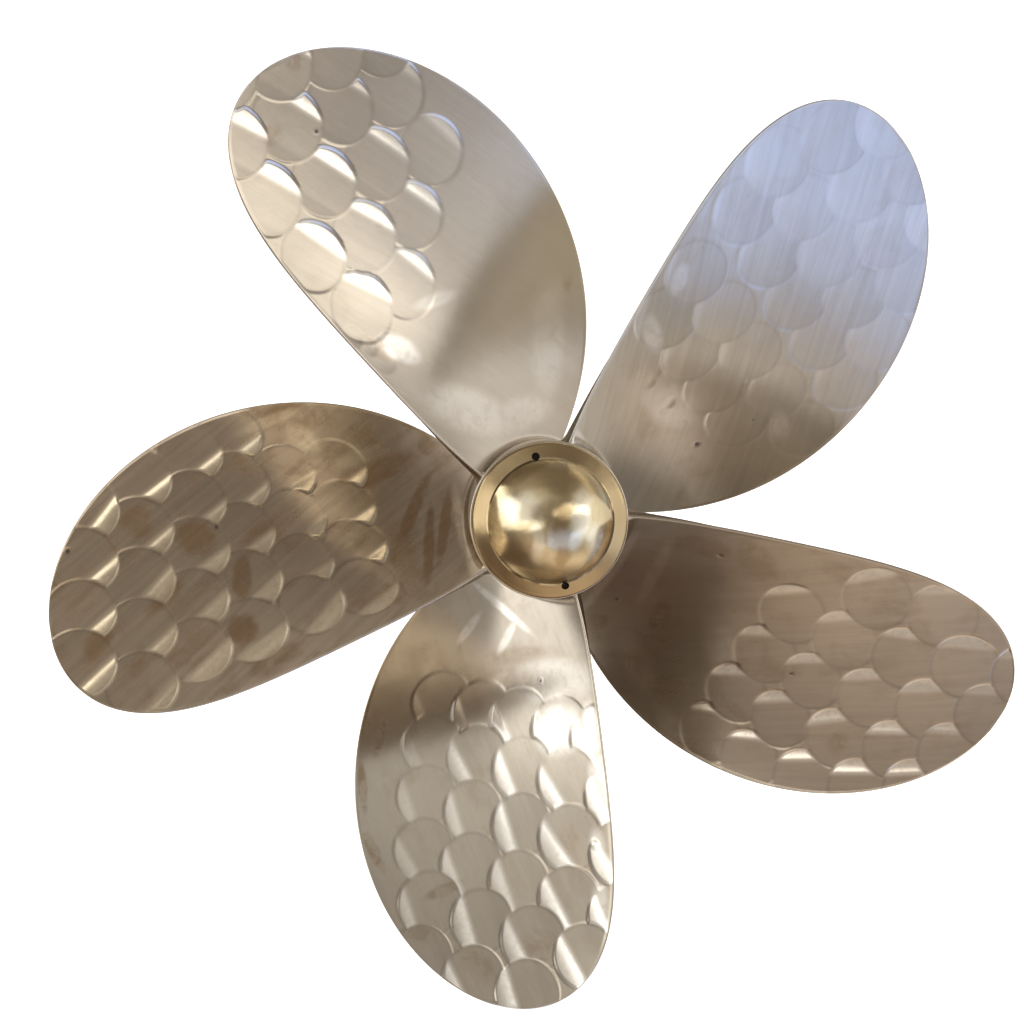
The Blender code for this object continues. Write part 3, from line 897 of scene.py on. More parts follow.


# Finishes

# How much brown film a blade carries, how strong its bands of grinding strokes
# are, and the colour of the highlights painted on its bevels and gleams.
BLADE_FINISHES = {
    1: {"film": 0.12, "bands": 0.02, "bright": (1.0, 0.96, 0.88)},
    2: {"film": 0.20, "bands": 0.07, "bright": (0.90, 0.88, 0.86)},
    3: {"film": 0.45, "bands": 0.05, "bright": (1.0, 0.93, 0.82)},
    4: {"film": 0.35, "bands": 0.02, "bright": (1.0, 0.98, 0.93)},
    5: {"film": 0.85, "bands": 0.10, "bright": (1.0, 0.88, 0.66)},
}
STROKE_TURN = (0.0, 0.0, math.radians(45.0))

# Patches on the cap, in metres: X, Z, half width and half height, and strength,
# more than 0 for a painted highlight and less than 0 for a painted dark reflection in brown.
CAP_PATCHES = (
    (0.011, -0.014, 0.011, 0.044, -0.9),
    (0.004, 0.012, 0.010, 0.012, -0.5),
    (-0.004, -0.056, 0.045, 0.014, -0.7),
    (0.004, 0.046, 0.055, 0.017, -0.7),
    (-0.038, -0.034, 0.022, 0.016, -0.5),
    (-0.037, 0.016, 0.023, 0.017, 0.9),
    (-0.015, -0.014, 0.008, 0.030, 0.8),
    (0.030, 0.010, 0.011, 0.026, 0.8),
    (0.046, -0.020, 0.012, 0.024, 0.5),
)


def brushed_group():
    """Fine scratches in one direction, as a height and a streak value."""
    graph, given, out = new_group(
        "Brushed strokes",
        [("Vector", "NodeSocketVector", None), ("Length", "NodeSocketFloat", 30.0), ("Width", "NodeSocketFloat", 900.0)],
        [("Height", "NodeSocketFloat"), ("Streak", "NodeSocketFloat")])
    stretch = graph.node("ShaderNodeCombineXYZ")
    graph.join(given["Length"], stretch.inputs[0])
    graph.join(given["Width"], stretch.inputs[1])
    graph.join(given["Length"], stretch.inputs[2])
    scaled = graph.vector("MULTIPLY", given["Vector"], stretch.outputs[0])
    fine = graph.noise(scaled, 1.0, 3.0, 0.6)
    broad = graph.noise(graph.vector("MULTIPLY", scaled, (0.6, 0.16, 0.6)), 1.0, 2.0, 0.5)
    graph.join(fine, out["Height"])
    graph.join(broad, out["Streak"])
    return graph.tree


def tarnish_group():
    """Cloudy brown film, heavier where the stains and painted dark reflections lie, and the small spots in it."""
    graph, given, out = new_group(
        "Tarnish film",
        [("Vector", "NodeSocketVector", None), ("Stain", "NodeSocketFloat", 0.0), ("Amount", "NodeSocketFloat", 0.5)],
        [("Film", "NodeSocketFloat"), ("Spots", "NodeSocketFloat")])
    cloud = graph.noise(given["Vector"], 16.0, 6.0, 0.62, 0.5)
    turned = graph.mapped(given["Vector"], turn=STROKE_TURN)
    streaked = graph.noise(graph.mapped(turned, scale=(9.0, 42.0, 9.0)), 1.0, 4.0, 0.6, 0.3)
    blend = graph.math("ADD", graph.math("MULTIPLY", cloud, 0.6), graph.math("MULTIPLY", streaked, 0.4))
    shifted = graph.math("ADD", blend, graph.math("MULTIPLY", given["Stain"], 0.22))
    film = graph.between(shifted, 0.46, 0.68)
    graph.join(graph.math("MULTIPLY", film, given["Amount"], clamp=True), out["Film"])
    spots = graph.between(graph.noise(given["Vector"], 240.0, 2.0, 0.5), 0.70, 0.76)
    graph.join(graph.math("MULTIPLY", spots, film), out["Spots"])
    return graph.tree


def blade_material(number, looks, groups):
    """Ground bronze: grinder marks with painted highlights on their bevels and painted shade at their rims and across
    them, strokes, film, stains with painted dark reflections, and painted gleams.
    """
    bronze = looks.bronze
    tints = {1: bronze.tint_1, 2: bronze.tint_2, 3: bronze.tint_3, 4: bronze.tint_4, 5: bronze.tint_5}
    finish = BLADE_FINISHES[number]
    material, graph, shader = new_material(f"ground_bronze_blade_{number}")
    uv = graph.node("ShaderNodeUVMap", uv_map="plane").outputs[0]
    within = graph.attribute("within", "Vector")
    painted_shine = graph.attribute("painted_shine")
    ground = graph.attribute("ground")
    stain_and_shade = graph.attribute("stain_and_shade")
    pore = graph.attribute("pore")
    strokes = graph.group(groups["brushed"], Vector=graph.mapped(within, turn=STROKE_TURN), Length=18.0, Width=700.0)
    bands = graph.group(groups["brushed"], Vector=graph.mapped(uv, turn=STROKE_TURN), Length=5.0, Width=120.0)
    film = graph.group(groups["tarnish"], Vector=uv, Stain=stain_and_shade, Amount=finish["film"])
    ragged = graph.between(graph.noise(uv, 55.0, 4.0, 0.6, 0.5), 0.32, 0.58)
    # Stains and painted dark reflections, broken up by the ragged cloud, turn the colour brown.
    stain_and_shade_mask = graph.math("MULTIPLY", graph.math("MULTIPLY", stain_and_shade, ragged), 0.9, clamp=True)
    painted_gleam = graph.math("MULTIPLY", graph.attribute("painted_gleam"), graph.between(ragged, 0.0, 1.0, 0.6, 1.0))

    band = graph.between(bands["Height"], 0.3, 0.7, 1.0 - finish["bands"], 1.0 + finish["bands"], smooth=False)
    streak = graph.between(strokes["Height"], 0.3, 0.7, 0.97, 1.03, smooth=False)
    tone = graph.between(graph.attribute("tone"), 0.0, 1.0, 0.94, 1.05, smooth=False)
    # Painted shade: each mark darker towards the side away from its bright bevel, and a dark line just inside its rim;
    # tone, bands and streaks are the bronze's own.
    across = graph.between(graph.attribute("shade"), -1.0, 1.0, 1.05, 0.90, smooth=False)
    rim = graph.between(graph.math("MULTIPLY", graph.attribute("rim"), ground), 0.0, 1.0, 1.0, 0.84, smooth=False)
    shade = graph.math("MULTIPLY", graph.math("MULTIPLY", tone, across), graph.math("MULTIPLY", band, streak))
    shade = graph.math("MULTIPLY", shade, rim)
    bare = tuple(a * b for a, b in zip(tints[number], bronze.clean)) + (1.0,)
    colour = graph.mix(1.0, bare, graph.grey(shade), "MULTIPLY")
    brown = graph.mix(1.0, colour, tuple(bronze.film) + (1.0,), "MULTIPLY")
    colour = graph.mix(graph.math("MAXIMUM", film["Film"], stain_and_shade_mask), colour, brown)
    colour = graph.mix(graph.math("MULTIPLY", film["Spots"], 0.6), colour, (0.10, 0.07, 0.045, 1.0))
    # Painted highlight on each mark's bevel, broken into patches, joined by the painted gleams, in the highlight colour
    # of the blade's finish.
    highlight_patchiness = graph.between(graph.noise(within, 160.0, 3.0, 0.6), 0.25, 0.60, 0.75, 1.0)
    bright = graph.math("MULTIPLY", graph.math("MULTIPLY", painted_shine, highlight_patchiness), streak)
    bright = graph.math("MAXIMUM", bright, graph.math("MULTIPLY", painted_gleam, 0.8), clamp=True)
    colour = graph.mix(bright, colour, (*finish["bright"], 1.0))
    colour = graph.mix(graph.math("MULTIPLY", pore, 0.9, clamp=True), colour, (0.05, 0.035, 0.025, 1.0))
    colour = graph.mix(graph.math("MULTIPLY", graph.attribute("edge"), 0.3), colour, tuple(bronze.edge) + (1.0,))
    graph.join(colour, shader.inputs["Base Color"])

    cloud = graph.between(graph.noise(uv, 14.0, 4.0, 0.6), 0.3, 0.7, -0.02, 0.03, smooth=False)
    rough = graph.math("ADD", cloud, bronze.roughness)
    rough = graph.math("ADD", rough, graph.math("MULTIPLY", film["Film"], 0.16))
    rough = graph.math("SUBTRACT", rough, graph.math("MULTIPLY", bright, 0.07))
    rough = graph.math("ADD", rough, graph.math("MULTIPLY", pore, 0.4), clamp=True)
    graph.join(rough, shader.inputs["Roughness"])

    normal = graph.bump(strokes["Height"], 0.00001, 0.6)
    normal = graph.bump(graph.noise(uv, 22.0, 3.0, 0.5), 0.0006, 0.35, normal)
    graph.join(normal, shader.inputs["Normal"])
    return material


def machined_material(name, colour, roughness, groups):
    """Turned metal: fine rings about the shaft's axis."""
    material, graph, shader = new_material(name, 1.0, roughness, colour)
    place = graph.object_coordinates()
    parts = graph.node("ShaderNodeSeparateXYZ")
    graph.join(place, parts.inputs[0])
    across = graph.math("SQRT", graph.math("ADD", graph.math("MULTIPLY", parts.outputs[0], parts.outputs[0]),
                                           graph.math("MULTIPLY", parts.outputs[2], parts.outputs[2])))
    rings = graph.node("ShaderNodeCombineXYZ")
    graph.join(graph.math("MULTIPLY", across, 1400.0), rings.inputs[0])
    graph.join(graph.math("MULTIPLY", parts.outputs[1], 900.0), rings.inputs[1])
    turned = graph.noise(rings.outputs[0], 1.0, 2.0, 0.5)
    cloud = graph.noise(place, 24.0, 4.0, 0.6)
    dark = tuple(c * 0.55 for c in colour) + (1.0,)
    graph.join(graph.mix(graph.between(cloud, 0.4, 0.75), tuple(colour) + (1.0,), dark), shader.inputs["Base Color"])
    graph.join(graph.between(cloud, 0.3, 0.7, roughness - 0.05, roughness + 0.15, smooth=False), shader.inputs["Roughness"])
    graph.join(graph.bump(turned, 0.00006, 1.0), shader.inputs["Normal"])
    return material


def barrel_material(looks, groups):
    """The hub's barrel between the blades: cast skin, dulled and stained."""
    bronze = looks.bronze
    material, graph, shader = new_material("hub_barrel_bronze")
    place = graph.object_coordinates()
    film = graph.group(groups["tarnish"], Vector=place, Amount=0.8)
    base = tuple(min(c * 1.4, 1.0) for c in bronze.clean) + (1.0,)
    colour = graph.mix(film["Film"], base, tuple(bronze.clean) + (1.0,))
    graph.join(colour, shader.inputs["Base Color"])
    graph.join(graph.between(graph.noise(place, 30.0, 3.0), 0.3, 0.7, 0.3, 0.5, smooth=False), shader.inputs["Roughness"])
    graph.join(graph.bump(graph.noise(place, 160.0, 4.0, 0.6), 0.0003, 0.6), shader.inputs["Normal"])
    return material


def patch_group():
    """A soft-edged oval patch about one place."""
    graph, given, out = new_group(
        "Soft patch",
        [("Vector", "NodeSocketVector", None), ("Centre", "NodeSocketVector", (0.0, 0.0, 0.0)),
         ("Size", "NodeSocketVector", (1.0, 1.0, 1.0))],
        [("Mask", "NodeSocketFloat")])
    away = graph.vector("SUBTRACT", given["Vector"], given["Centre"])
    reach = graph.vector("LENGTH", graph.vector("DIVIDE", away, given["Size"]))
    graph.join(graph.between(reach, 0.5, 1.3, 1.0, 0.0), out["Mask"])
    return graph.tree


def brass_material(looks, groups):
    """Polished brass with hand-rubbed strokes, faint clouding of tarnish, painted highlights, painted dark reflections
    in brown, and painted shade in the groove at the dome's step.
    """
    brass = looks.cap_colour
    material, graph, shader = new_material("polished_brass_cap")
    place = graph.object_coordinates()
    strokes = graph.group(groups["brushed"], Vector=graph.mapped(place, turn=(0.0, 0.6, 0.0)), Length=20.0, Width=500.0)
    parts = graph.node("ShaderNodeSeparateXYZ")
    graph.join(place, parts.inputs[0])
    spread = graph.math("SQRT", graph.math("ADD", graph.math("MULTIPLY", parts.outputs[0], parts.outputs[0]),
                                           graph.math("MULTIPLY", parts.outputs[2], parts.outputs[2])))
    band = graph.between(spread, CAP_DOME_RADIUS - 0.001, CAP_DOME_RADIUS + 0.002)
    film = graph.group(groups["tarnish"], Vector=graph.mapped(place, scale=(2.4, 2.4, 2.4)), Amount=1.0)
    brown = tuple(c * f for c, f in zip(brass, (0.62, 0.54, 0.47))) + (1.0,)
    tarnish_and_dark_reflection = graph.math("MAXIMUM", graph.math("MULTIPLY", film["Film"], 0.45), graph.math("MULTIPLY", band, 0.85))
    wavy = graph.node("ShaderNodeTexNoise")
    graph.join(place, wavy.inputs["Vector"])
    wavy.inputs["Scale"].default_value = 40.0
    moved = graph.vector("SUBTRACT", wavy.outputs["Color"], (0.5, 0.5, 0.5))
    warped = graph.vector("ADD", place, graph.vector("SCALE", moved, scale=0.022))
    # Painted highlights and painted dark reflections in brown, patch by patch, warped by the noise.
    painted_cap_highlight = 0.0
    for x, z, width, height, strength in CAP_PATCHES:
        mask = graph.group(groups["patch"], Vector=warped, Centre=(x, -0.30, z), Size=(width, 1.0, height))["Mask"]
        if strength < 0.0:
            tarnish_and_dark_reflection = graph.math("MAXIMUM", tarnish_and_dark_reflection, graph.math("MULTIPLY", mask, -strength))
        else:
            painted_cap_highlight = graph.math("MAXIMUM", painted_cap_highlight, graph.math("MULTIPLY", mask, strength))
    # Painted shade: a dark, cloud-broken line in the groove at the dome's step.
    groove_shade = graph.math("ABSOLUTE", graph.math("SUBTRACT", spread, CAP_DOME_RADIUS))
    groove_shade = graph.between(groove_shade, 0.0004, 0.0014, 1.0, 0.0)
    cloudy = graph.between(graph.noise(place, 30.0, 3.0), 0.38, 0.6)
    colour = graph.mix(tarnish_and_dark_reflection, tuple(brass) + (1.0,), brown)
    colour = graph.mix(painted_cap_highlight, colour, (1.0, 0.93, 0.74, 1.0))
    colour = graph.mix(graph.math("MULTIPLY", groove_shade, cloudy), colour, (0.12, 0.085, 0.05, 1.0))
    streak = graph.between(strokes["Height"], 0.3, 0.7, 0.97, 1.03, smooth=False)
    graph.join(graph.mix(1.0, colour, graph.grey(streak), "MULTIPLY"), shader.inputs["Base Color"])
    rough = graph.between(strokes["Streak"], 0.3, 0.7, looks.cap_roughness - 0.02, looks.cap_roughness + 0.05, smooth=False)
    rough = graph.math("ADD", rough, graph.math("MULTIPLY", tarnish_and_dark_reflection, 0.08), clamp=True)
    graph.join(rough, shader.inputs["Roughness"])
    normal = graph.bump(strokes["Height"], 0.00001, 0.6)
    graph.join(graph.bump(graph.noise(place, 55.0, 3.0, 0.5), 0.0007, 0.4, normal), shader.inputs["Normal"])
    return material


def dull_material(name, colour, roughness, grain):
    """Rubber or jointing sheet: mottled, with a fine grain."""
    material, graph, shader = new_material(name, 0.0, roughness, colour)
    place = graph.object_coordinates()
    mottle = graph.noise(place, 60.0, 4.0, 0.6)
    lighter = tuple(min(c * 1.9 + 0.01, 1.0) for c in colour) + (1.0,)
    graph.join(graph.mix(graph.between(mottle, 0.35, 0.75), tuple(colour) + (1.0,), lighter), shader.inputs["Base Color"])
    graph.join(graph.between(mottle, 0.3, 0.7, roughness - 0.12, roughness + 0.08, smooth=False), shader.inputs["Roughness"])
    graph.join(graph.bump(graph.noise(place, grain, 2.0, 0.6), 0.0001, 0.8), shader.inputs["Normal"])
    return material


def shared_groups():
    """The node groups that several finishes share, made once."""
    made = {}
    for key, name, maker in (("brushed", "Brushed strokes", brushed_group), ("tarnish", "Tarnish film", tarnish_group),
                             ("patch", "Soft patch", patch_group)):
        made[key] = bpy.data.node_groups.get(name) or maker()
    return made


# Settings


class BronzeColours(PropertyGroup):
    """Colours of the cast and ground bronze."""

    clean: FloatVectorProperty(name="Clean bronze", description="Freshly ground bronze", subtype="COLOR",
                               default=(0.58, 0.53, 0.45), min=0.0, max=1.0)
    film: FloatVectorProperty(name="Film", description="What the brown film takes from the bronze's colour",
                              subtype="COLOR", default=(0.62, 0.50, 0.38), min=0.0, max=1.0)
    edge: FloatVectorProperty(name="Edge", description="Bright metal along the blades' edges", subtype="COLOR",
                              default=(0.80, 0.72, 0.58), min=0.0, max=1.0)
    # The tints make copies of one bronze, darker on blade 3, browner on blade 5 and a little cooler on blade 2: painted
    # shade and light for how each blade faces the light.
    tint_1: FloatVectorProperty(name="Blade 1", description="Tint of the first blade", subtype="COLOR",
                                default=(1.0, 0.98, 0.96), min=0.0, max=1.0)
    tint_2: FloatVectorProperty(name="Blade 2", description="Tint of the second blade", subtype="COLOR",
                                default=(0.98, 1.0, 1.0), min=0.0, max=1.0)
    tint_3: FloatVectorProperty(name="Blade 3", description="Tint of the third blade", subtype="COLOR",
                                default=(0.88, 0.83, 0.79), min=0.0, max=1.0)
    tint_4: FloatVectorProperty(name="Blade 4", description="Tint of the fourth blade", subtype="COLOR",
                                default=(1.0, 1.0, 1.0), min=0.0, max=1.0)
    tint_5: FloatVectorProperty(name="Blade 5", description="Tint of the fifth blade", subtype="COLOR",
                                default=(0.92, 0.83, 0.74), min=0.0, max=1.0)
    roughness: FloatProperty(name="Roughness", description="Roughness of the ground bronze", default=0.22,
                             min=0.05, max=1.0)


class PropellerLooks(PropertyGroup):
    """Sizes and colours of the propeller's looks."""

    bronze: PointerProperty(type=BronzeColours)
    rows: IntProperty(name="Rows", description="Rows of faces from a blade's root to its tip", default=330, min=60)
    fillet_rows: IntProperty(name="Fillet rows", description="Rows of faces in a root fillet", default=14, min=4)
    face_columns: IntProperty(name="Face columns", description="Faces across a blade's face", default=190, min=20)
    back_columns: IntProperty(name="Back columns", description="Faces across a blade's back", default=52, min=12)
    edge_columns: IntProperty(name="Edge columns", description="Faces round a blade's edge", default=6, min=3)
    tip_inset: FloatProperty(name="Tip inset", description="How far the tips stay inside the solid's blade circle",
                             default=0.0005, unit="LENGTH")
    mark_radius: FloatProperty(name="Mark radius", description="Radius of a grinder mark", default=0.0375,
                               min=0.01, max=0.06, unit="LENGTH")
    mark_depth: FloatProperty(name="Mark depth", description="Depth of a mark's floor", default=0.0003,
                              min=0.0, max=0.003, unit="LENGTH")
    mark_slope: FloatProperty(name="Mark slope", description="Rise of a mark's floor across its bright side",
                              default=0.0035, min=-0.05, max=0.05)
    bevel_turn: FloatProperty(name="Bright side", description="Direction of a mark's bright side from the leading edge",
                              default=math.radians(45.0), subtype="ANGLE")
    bevel_width: FloatProperty(name="Bevel width", description="Share of the radius in which the floor bends",
                               default=0.16, min=0.02, max=1.0)
    bevel_depth: FloatProperty(name="Bevel depth", description="How far a bevel falls below the floor at most",
                               default=0.0013, min=0.0001, max=0.003, unit="LENGTH")
    far_slope: FloatProperty(name="Far slope", description="Slope of the floor on the other side",
                             default=0.02, min=0.0, max=0.3)
    rim_softness: FloatProperty(name="Rim softness", description="Width of the step at a mark's rim", default=0.0026,
                                min=0.0005, max=0.01, unit="LENGTH")
    unevenness: FloatProperty(name="Unevenness", description="Height of the blades' hand-ground waviness",
                              default=0.00012, min=0.0, max=0.001, unit="LENGTH")
    turn_steps: IntProperty(name="Turn steps", description="Faces round the hub and the cap", default=160, min=32)
    cap_ripple: FloatProperty(name="Cap ripple", description="Height of the ripple in the polished cap", default=0.00025,
                              min=0.0, max=0.001, unit="LENGTH")
    cap_colour: FloatVectorProperty(name="Brass", description="Polished brass", subtype="COLOR",
                                    default=(0.76, 0.64, 0.40), min=0.0, max=1.0)
    cap_roughness: FloatProperty(name="Cap roughness", description="Roughness of the polished brass", default=0.14,
                                 min=0.02, max=1.0)
    surround: FloatVectorProperty(name="Surround", description="Colour of the room that the metal reflects",
                                  subtype="COLOR", default=(0.27, 0.235, 0.205), min=0.0, max=1.0)


# Operators


class PROPELLER_OT_add_blades(Operator):
    """Add the five ground blades"""

    bl_idname = "propeller.add_blades"
    bl_label = "Blades"

    def execute(self, context):
        looks = settings(context)
        groups = shared_groups()
        for number in range(1, BLADE_COUNT + 1):
            add_blade(number, looks, blade_material(number, looks, groups))
        return {"FINISHED"}


class PROPELLER_OT_add_hub(Operator):
    """Add the hub between the blades"""

    bl_idname = "propeller.add_hub"
    bl_label = "Hub"

    def execute(self, context):
        looks = settings(context)
        groups = shared_groups()
        machined = machined_material("turned_bronze", (0.62, 0.53, 0.38), 0.28, groups)
        add_hub(looks, barrel_material(looks, groups), machined)
        return {"FINISHED"}


class PROPELLER_OT_add_cap(Operator):
    """Add the polished cap over the shaft nut"""

    bl_idname = "propeller.add_cap"
    bl_label = "Cap"

    def execute(self, context):
        looks = settings(context)
        groups = shared_groups()
        # Painted shade: a near-black finish inside the spanner holes.
        hole = dull_material("hole_painted_shade", (0.045, 0.030, 0.018), 0.7, 400.0)
        add_cap(looks, brass_material(looks, groups), hole)
        return {"FINISHED"}


class PROPELLER_OT_finish_fittings(Operator):
    """Give the joint ring, shaft nut, lock plate and seal their finishes"""

    bl_idname = "propeller.finish_fittings"
    bl_label = "Joint, nut, plate and seal"

    def execute(self, context):
        groups = shared_groups()
        finishes = {
            "cap_joint_ring": dull_material("jointing_sheet", (0.055, 0.042, 0.032), 0.78, 700.0),
            "forward_seal_ring": dull_material("seal_rubber_moulded", (0.018, 0.018, 0.019), 0.6, 500.0),
            "propeller_nut": machined_material("nut_bronze_milled", (0.52, 0.41, 0.25), 0.34, groups),
            "nut_lock_plate": machined_material("plate_steel_turned", (0.50, 0.50, 0.49), 0.32, groups),
        }
        for name, material in finishes.items():
            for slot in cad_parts[name].material_slots:
                slot.material = material
        return {"FINISHED"}


class PROPELLER_OT_add_stage(Operator):
    """Add the floor, the backdrop, the soft lights and the camera"""

    bl_idname = "propeller.add_stage"
    bl_label = "Stage"

    def execute(self, context):
        add_sweep()
        add_surround(context, settings(context))
        add_camera(context)
        return {"FINISHED"}


# Stage

# Soft lights of the studio, as the metal sees them: name, azimuth (right is
# positive, 0 is straight back), elevation, half width and half height in
# degrees, softness of the border and brightness.
SOFT_LIGHTS = (
    ("left_window", -102.0, 12.0, 43.0, 20.0, 0.2, (1.26, 1.25, 1.22)),
    ("window_glow", -48.0, 14.0, 16.0, 22.0, 0.8, (0.44, 0.43, 0.40)),
    ("upper_left", -66.0, 58.0, 46.0, 16.0, 0.9, (0.18, 0.18, 0.17)),
    ("upper_mid", -36.0, 44.0, 18.0, 12.0, 0.8, (0.20, 0.21, 0.21)),
    ("low_panel", -40.0, -5.0, 24.0, 7.0, 0.4, (1.00, 0.95, 0.88)),
    ("low_left", -34.0, -31.0, 22.0, 14.0, 0.8, (0.11, 0.10, 0.09)),
    ("dark_flag", -95.0, -48.0, 38.0, 24.0, 0.7, (-0.11, -0.12, -0.115)),
    ("upper_right", 38.0, 18.0, 30.0, 8.0, 0.25, (1.20, 1.15, 1.05)),
    ("right_fill", 62.0, 0.0, 24.0, 20.0, 0.9, (0.24, 0.26, 0.30)),
    ("right_low", 66.0, -20.0, 22.0, 11.0, 0.8, (0.36, 0.41, 0.50)),
    ("far_right", 92.0, 12.0, 32.0, 28.0, 0.8, (0.68, 0.68, 0.68)),
    ("cool_low", 24.0, -31.0, 22.0, 13.0, 0.6, (0.42, 0.64, 1.30)),
    ("floor_right", 46.0, -50.0, 50.0, 18.0, 0.8, (0.22, 0.21, 0.20)),
    ("floor_below", 34.0, -70.0, 50.0, 16.0, 0.6, (0.42, 0.34, 0.27)),
    ("behind", 180.0, 22.0, 48.0, 26.0, 0.5, (0.90, 0.88, 0.84)),
    ("behind_low", 150.0, -26.0, 40.0, 14.0, 0.8, (0.30, 0.29, 0.28)),
)

CAMERA_PLACE = Vector((-0.0775, -1.6009, 0.0666))
CAMERA_LOOK = Vector((0.05016, 0.99198, -0.11597))
FOCAL_PIXELS = 1200.0
FRAME_PIXELS = 1024.0
PICTURE_CENTRE = (540.7, 600.7)


def add_sweep():
    """A floor that curves up into a backdrop, all one pale sheet."""
    material, graph, shader = new_material("studio_sweep", 0.0, 0.9, (0.86, 0.86, 0.86))
    place = graph.object_coordinates()
    shade = graph.between(graph.noise(place, 0.8, 2.0), 0.3, 0.7, 0.97, 1.0, smooth=False)
    graph.join(graph.mix(1.0, (0.86, 0.86, 0.86, 1.0), shade, "MULTIPLY"), shader.inputs["Base Color"])
    shader.inputs["Emission Color"].default_value = (1.0, 1.0, 1.0, 1.0)
    shader.inputs["Emission Strength"].default_value = 0.9
    floor, front, back, top, bend = -0.545, -0.30, 3.4, 3.2, 1.2
    bm = bmesh.new()
    profile = [Vector((-5.0, front, floor)), Vector((-5.0, back - bend, floor))]
    for i in range(1, 17):
        angle = math.pi / 2.0 * i / 16
        profile.append(Vector((-5.0, back - bend + bend * math.sin(angle), floor + bend * (1.0 - math.cos(angle)))))
    profile.append(Vector((-5.0, back, top)))
    verts = [bm.verts.new(p) for p in profile]
    edges = [bm.edges.new(pair) for pair in zip(verts, verts[1:])]
    swept = bmesh.ops.extrude_edge_only(bm, edges=edges)["geom"]
    bmesh.ops.translate(bm, verts=[g for g in swept if isinstance(g, bmesh.types.BMVert)], vec=(10.0, 0.0, 0.0))
    bmesh.ops.recalc_face_normals(bm, faces=bm.faces)
    mesh = bpy.data.meshes.new("studio_sweep")
    bm.to_mesh(mesh)
    bm.free()
    mesh.materials.append(material)
    mesh.shade_smooth()
    sweep = bpy.data.objects.new("studio_sweep", mesh)
    bpy.context.scene.collection.objects.link(sweep)
    sweep.visible_glossy = False


def soft_light_group():
    """A soft-edged panel, far away in one direction: how much of it a direction sees."""
    graph, given, out = new_group(
        "Soft light",
        [("Direction", "NodeSocketVector", None), ("Azimuth", "NodeSocketFloat", 0.0),
         ("Elevation", "NodeSocketFloat", 0.0), ("Half width", "NodeSocketFloat", 0.5),
         ("Half height", "NodeSocketFloat", 0.5), ("Softness", "NodeSocketFloat", 0.5)],
        [("Seen", "NodeSocketFloat")])
    turned = graph.node("ShaderNodeVectorRotate", rotation_type="Z_AXIS")
    graph.join(given["Direction"], turned.inputs["Vector"])
    graph.join(graph.math("MULTIPLY", given["Azimuth"], -1.0), turned.inputs["Angle"])
    lifted = graph.node("ShaderNodeVectorRotate", rotation_type="X_AXIS")
    graph.join(turned.outputs[0], lifted.inputs["Vector"])
    graph.join(given["Elevation"], lifted.inputs["Angle"])
    parts = graph.node("ShaderNodeSeparateXYZ")
    graph.join(lifted.outputs[0], parts.inputs[0])
    aside = graph.math("ARCTAN2", parts.outputs[0], graph.math("MULTIPLY", parts.outputs[1], -1.0))
    above = graph.math("ARCSINE", parts.outputs[2])
    aside = graph.math("POWER", graph.math("ABSOLUTE", graph.math("DIVIDE", aside, given["Half width"])), 4.0)
    above = graph.math("POWER", graph.math("ABSOLUTE", graph.math("DIVIDE", above, given["Half height"])), 4.0)
    reach = graph.math("POWER", graph.math("ADD", aside, above), 0.25)
    inner = graph.math("SUBTRACT", 1.0, given["Softness"])
    outer = graph.math("ADD", 1.0, given["Softness"])
    graph.join(graph.between(reach, inner, outer, 1.0, 0.0), out["Seen"])
    return graph.tree


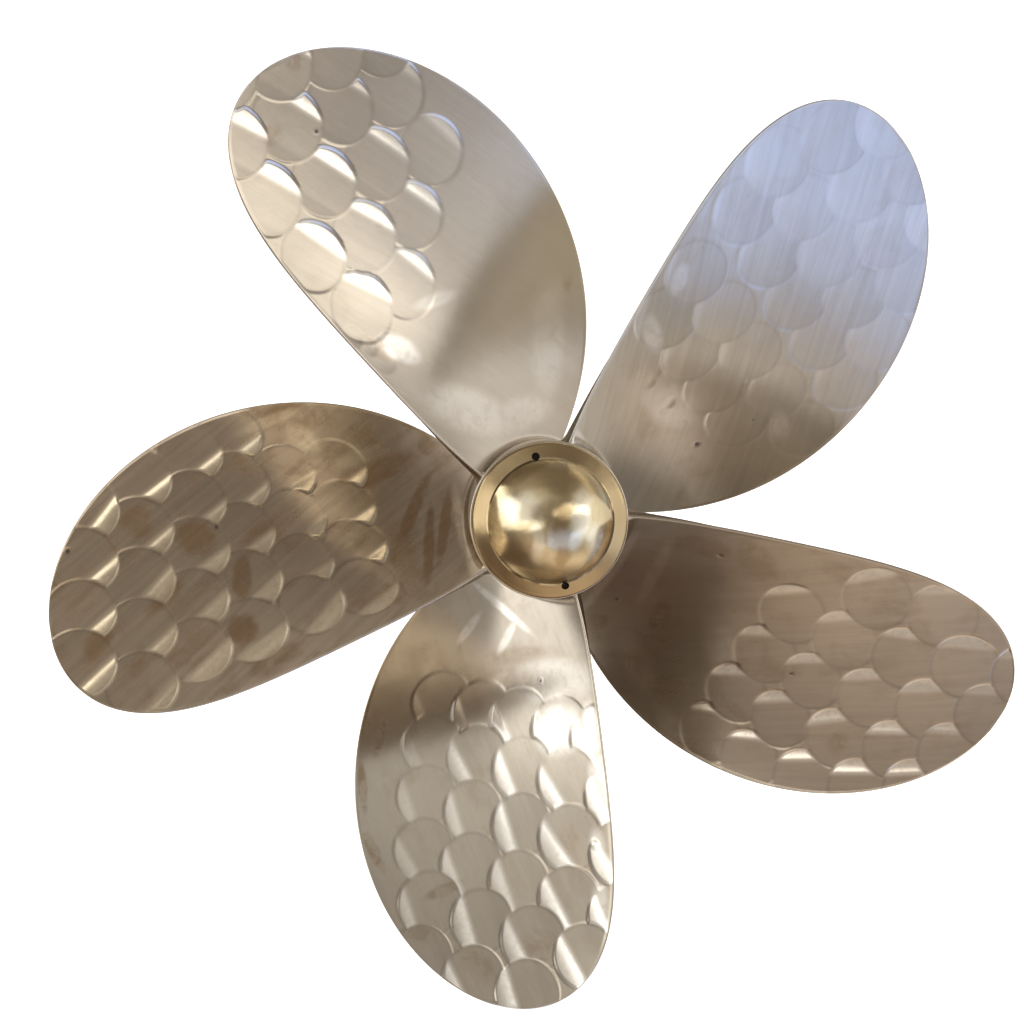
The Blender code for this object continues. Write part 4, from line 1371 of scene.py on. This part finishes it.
def add_surround(context, looks):
    """The room that the metal reflects, a warm tone with soft lights in it, and white behind the picture."""
    world = bpy.data.worlds.new("studio")
    world.use_nodes = True
    context.scene.world = world
    graph = Graph(world.node_tree)
    direction = graph.node("ShaderNodeTexCoord").outputs["Generated"]
    panel = soft_light_group()
    total = (*looks.surround, 1.0)
    for name, azimuth, elevation, half_width, half_height, softness, brightness in SOFT_LIGHTS:
        seen = graph.group(panel, Direction=direction, Azimuth=math.radians(azimuth),
                           Elevation=math.radians(elevation), Half_width=math.radians(half_width),
                           Half_height=math.radians(half_height), Softness=softness)
        light = graph.vector("SCALE", brightness, scale=seen["Seen"])
        total = graph.vector("ADD", total[:3] if isinstance(total, tuple) else total, light)
        total.node.label = name
    room = world.node_tree.nodes["Background"]
    graph.join(total, room.inputs["Color"])
    room.inputs["Strength"].default_value = 1.0
    white = graph.node("ShaderNodeBackground")
    white.inputs["Color"].default_value = (1.0, 1.0, 1.0, 1.0)
    white.inputs["Strength"].default_value = 1.1
    mix = graph.node("ShaderNodeMixShader")
    graph.join(graph.node("ShaderNodeLightPath").outputs["Is Camera Ray"], mix.inputs["Fac"])
    graph.join(room.outputs[0], mix.inputs[1])
    graph.join(white.outputs[0], mix.inputs[2])
    graph.join(mix.outputs[0], world.node_tree.nodes["World Output"].inputs["Surface"])


def add_camera(context):
    camera = bpy.data.cameras.new("camera")
    camera.sensor_width = 36.0
    camera.lens = FOCAL_PIXELS / FRAME_PIXELS * camera.sensor_width
    camera.shift_x = (FRAME_PIXELS / 2.0 - PICTURE_CENTRE[0]) / FRAME_PIXELS
    camera.shift_y = (PICTURE_CENTRE[1] - FRAME_PIXELS / 2.0) / FRAME_PIXELS
    viewer = bpy.data.objects.new("camera", camera)
    viewer.location = CAMERA_PLACE
    viewer.rotation_euler = CAMERA_LOOK.to_track_quat("-Z", "Y").to_euler()
    context.scene.collection.objects.link(viewer)
    context.scene.camera = viewer
    context.scene.view_settings.view_transform = "Standard"


# Panel and registration


class PROPELLER_PT_looks(Panel):
    """The propeller's pieces and their settings"""

    bl_idname = "PROPELLER_PT_looks"
    bl_label = "Ship propeller"
    bl_space_type = "VIEW_3D"
    bl_region_type = "UI"
    bl_category = "Propeller"

    def draw(self, context):
        looks = settings(context)
        for name in ("mark_radius", "mark_depth", "bevel_width", "bevel_depth", "cap_colour", "cap_roughness", "surround"):
            self.layout.prop(looks, name)
        for name in ("clean", "film", "edge", "roughness"):
            self.layout.prop(looks.bronze, name)
        for operator in OPERATORS:
            self.layout.operator(operator.bl_idname)


OPERATORS = (
    PROPELLER_OT_add_blades,
    PROPELLER_OT_add_hub,
    PROPELLER_OT_add_cap,
    PROPELLER_OT_finish_fittings,
    PROPELLER_OT_add_stage,
)
CLASSES = (BronzeColours, PropellerLooks, *OPERATORS, PROPELLER_PT_looks)


def register():
    for made in CLASSES:
        bpy.utils.register_class(made)
    bpy.types.Scene.propeller_looks = PointerProperty(type=PropellerLooks)


def unregister():
    del bpy.types.Scene.propeller_looks
    for made in reversed(CLASSES):
        bpy.utils.unregister_class(made)


def main():
    register()
    bpy.ops.propeller.add_blades()
    bpy.ops.propeller.add_hub()
    bpy.ops.propeller.add_cap()
    bpy.ops.propeller.finish_fittings()
    bpy.ops.propeller.add_stage()


if __name__ == "__main__":
    main()
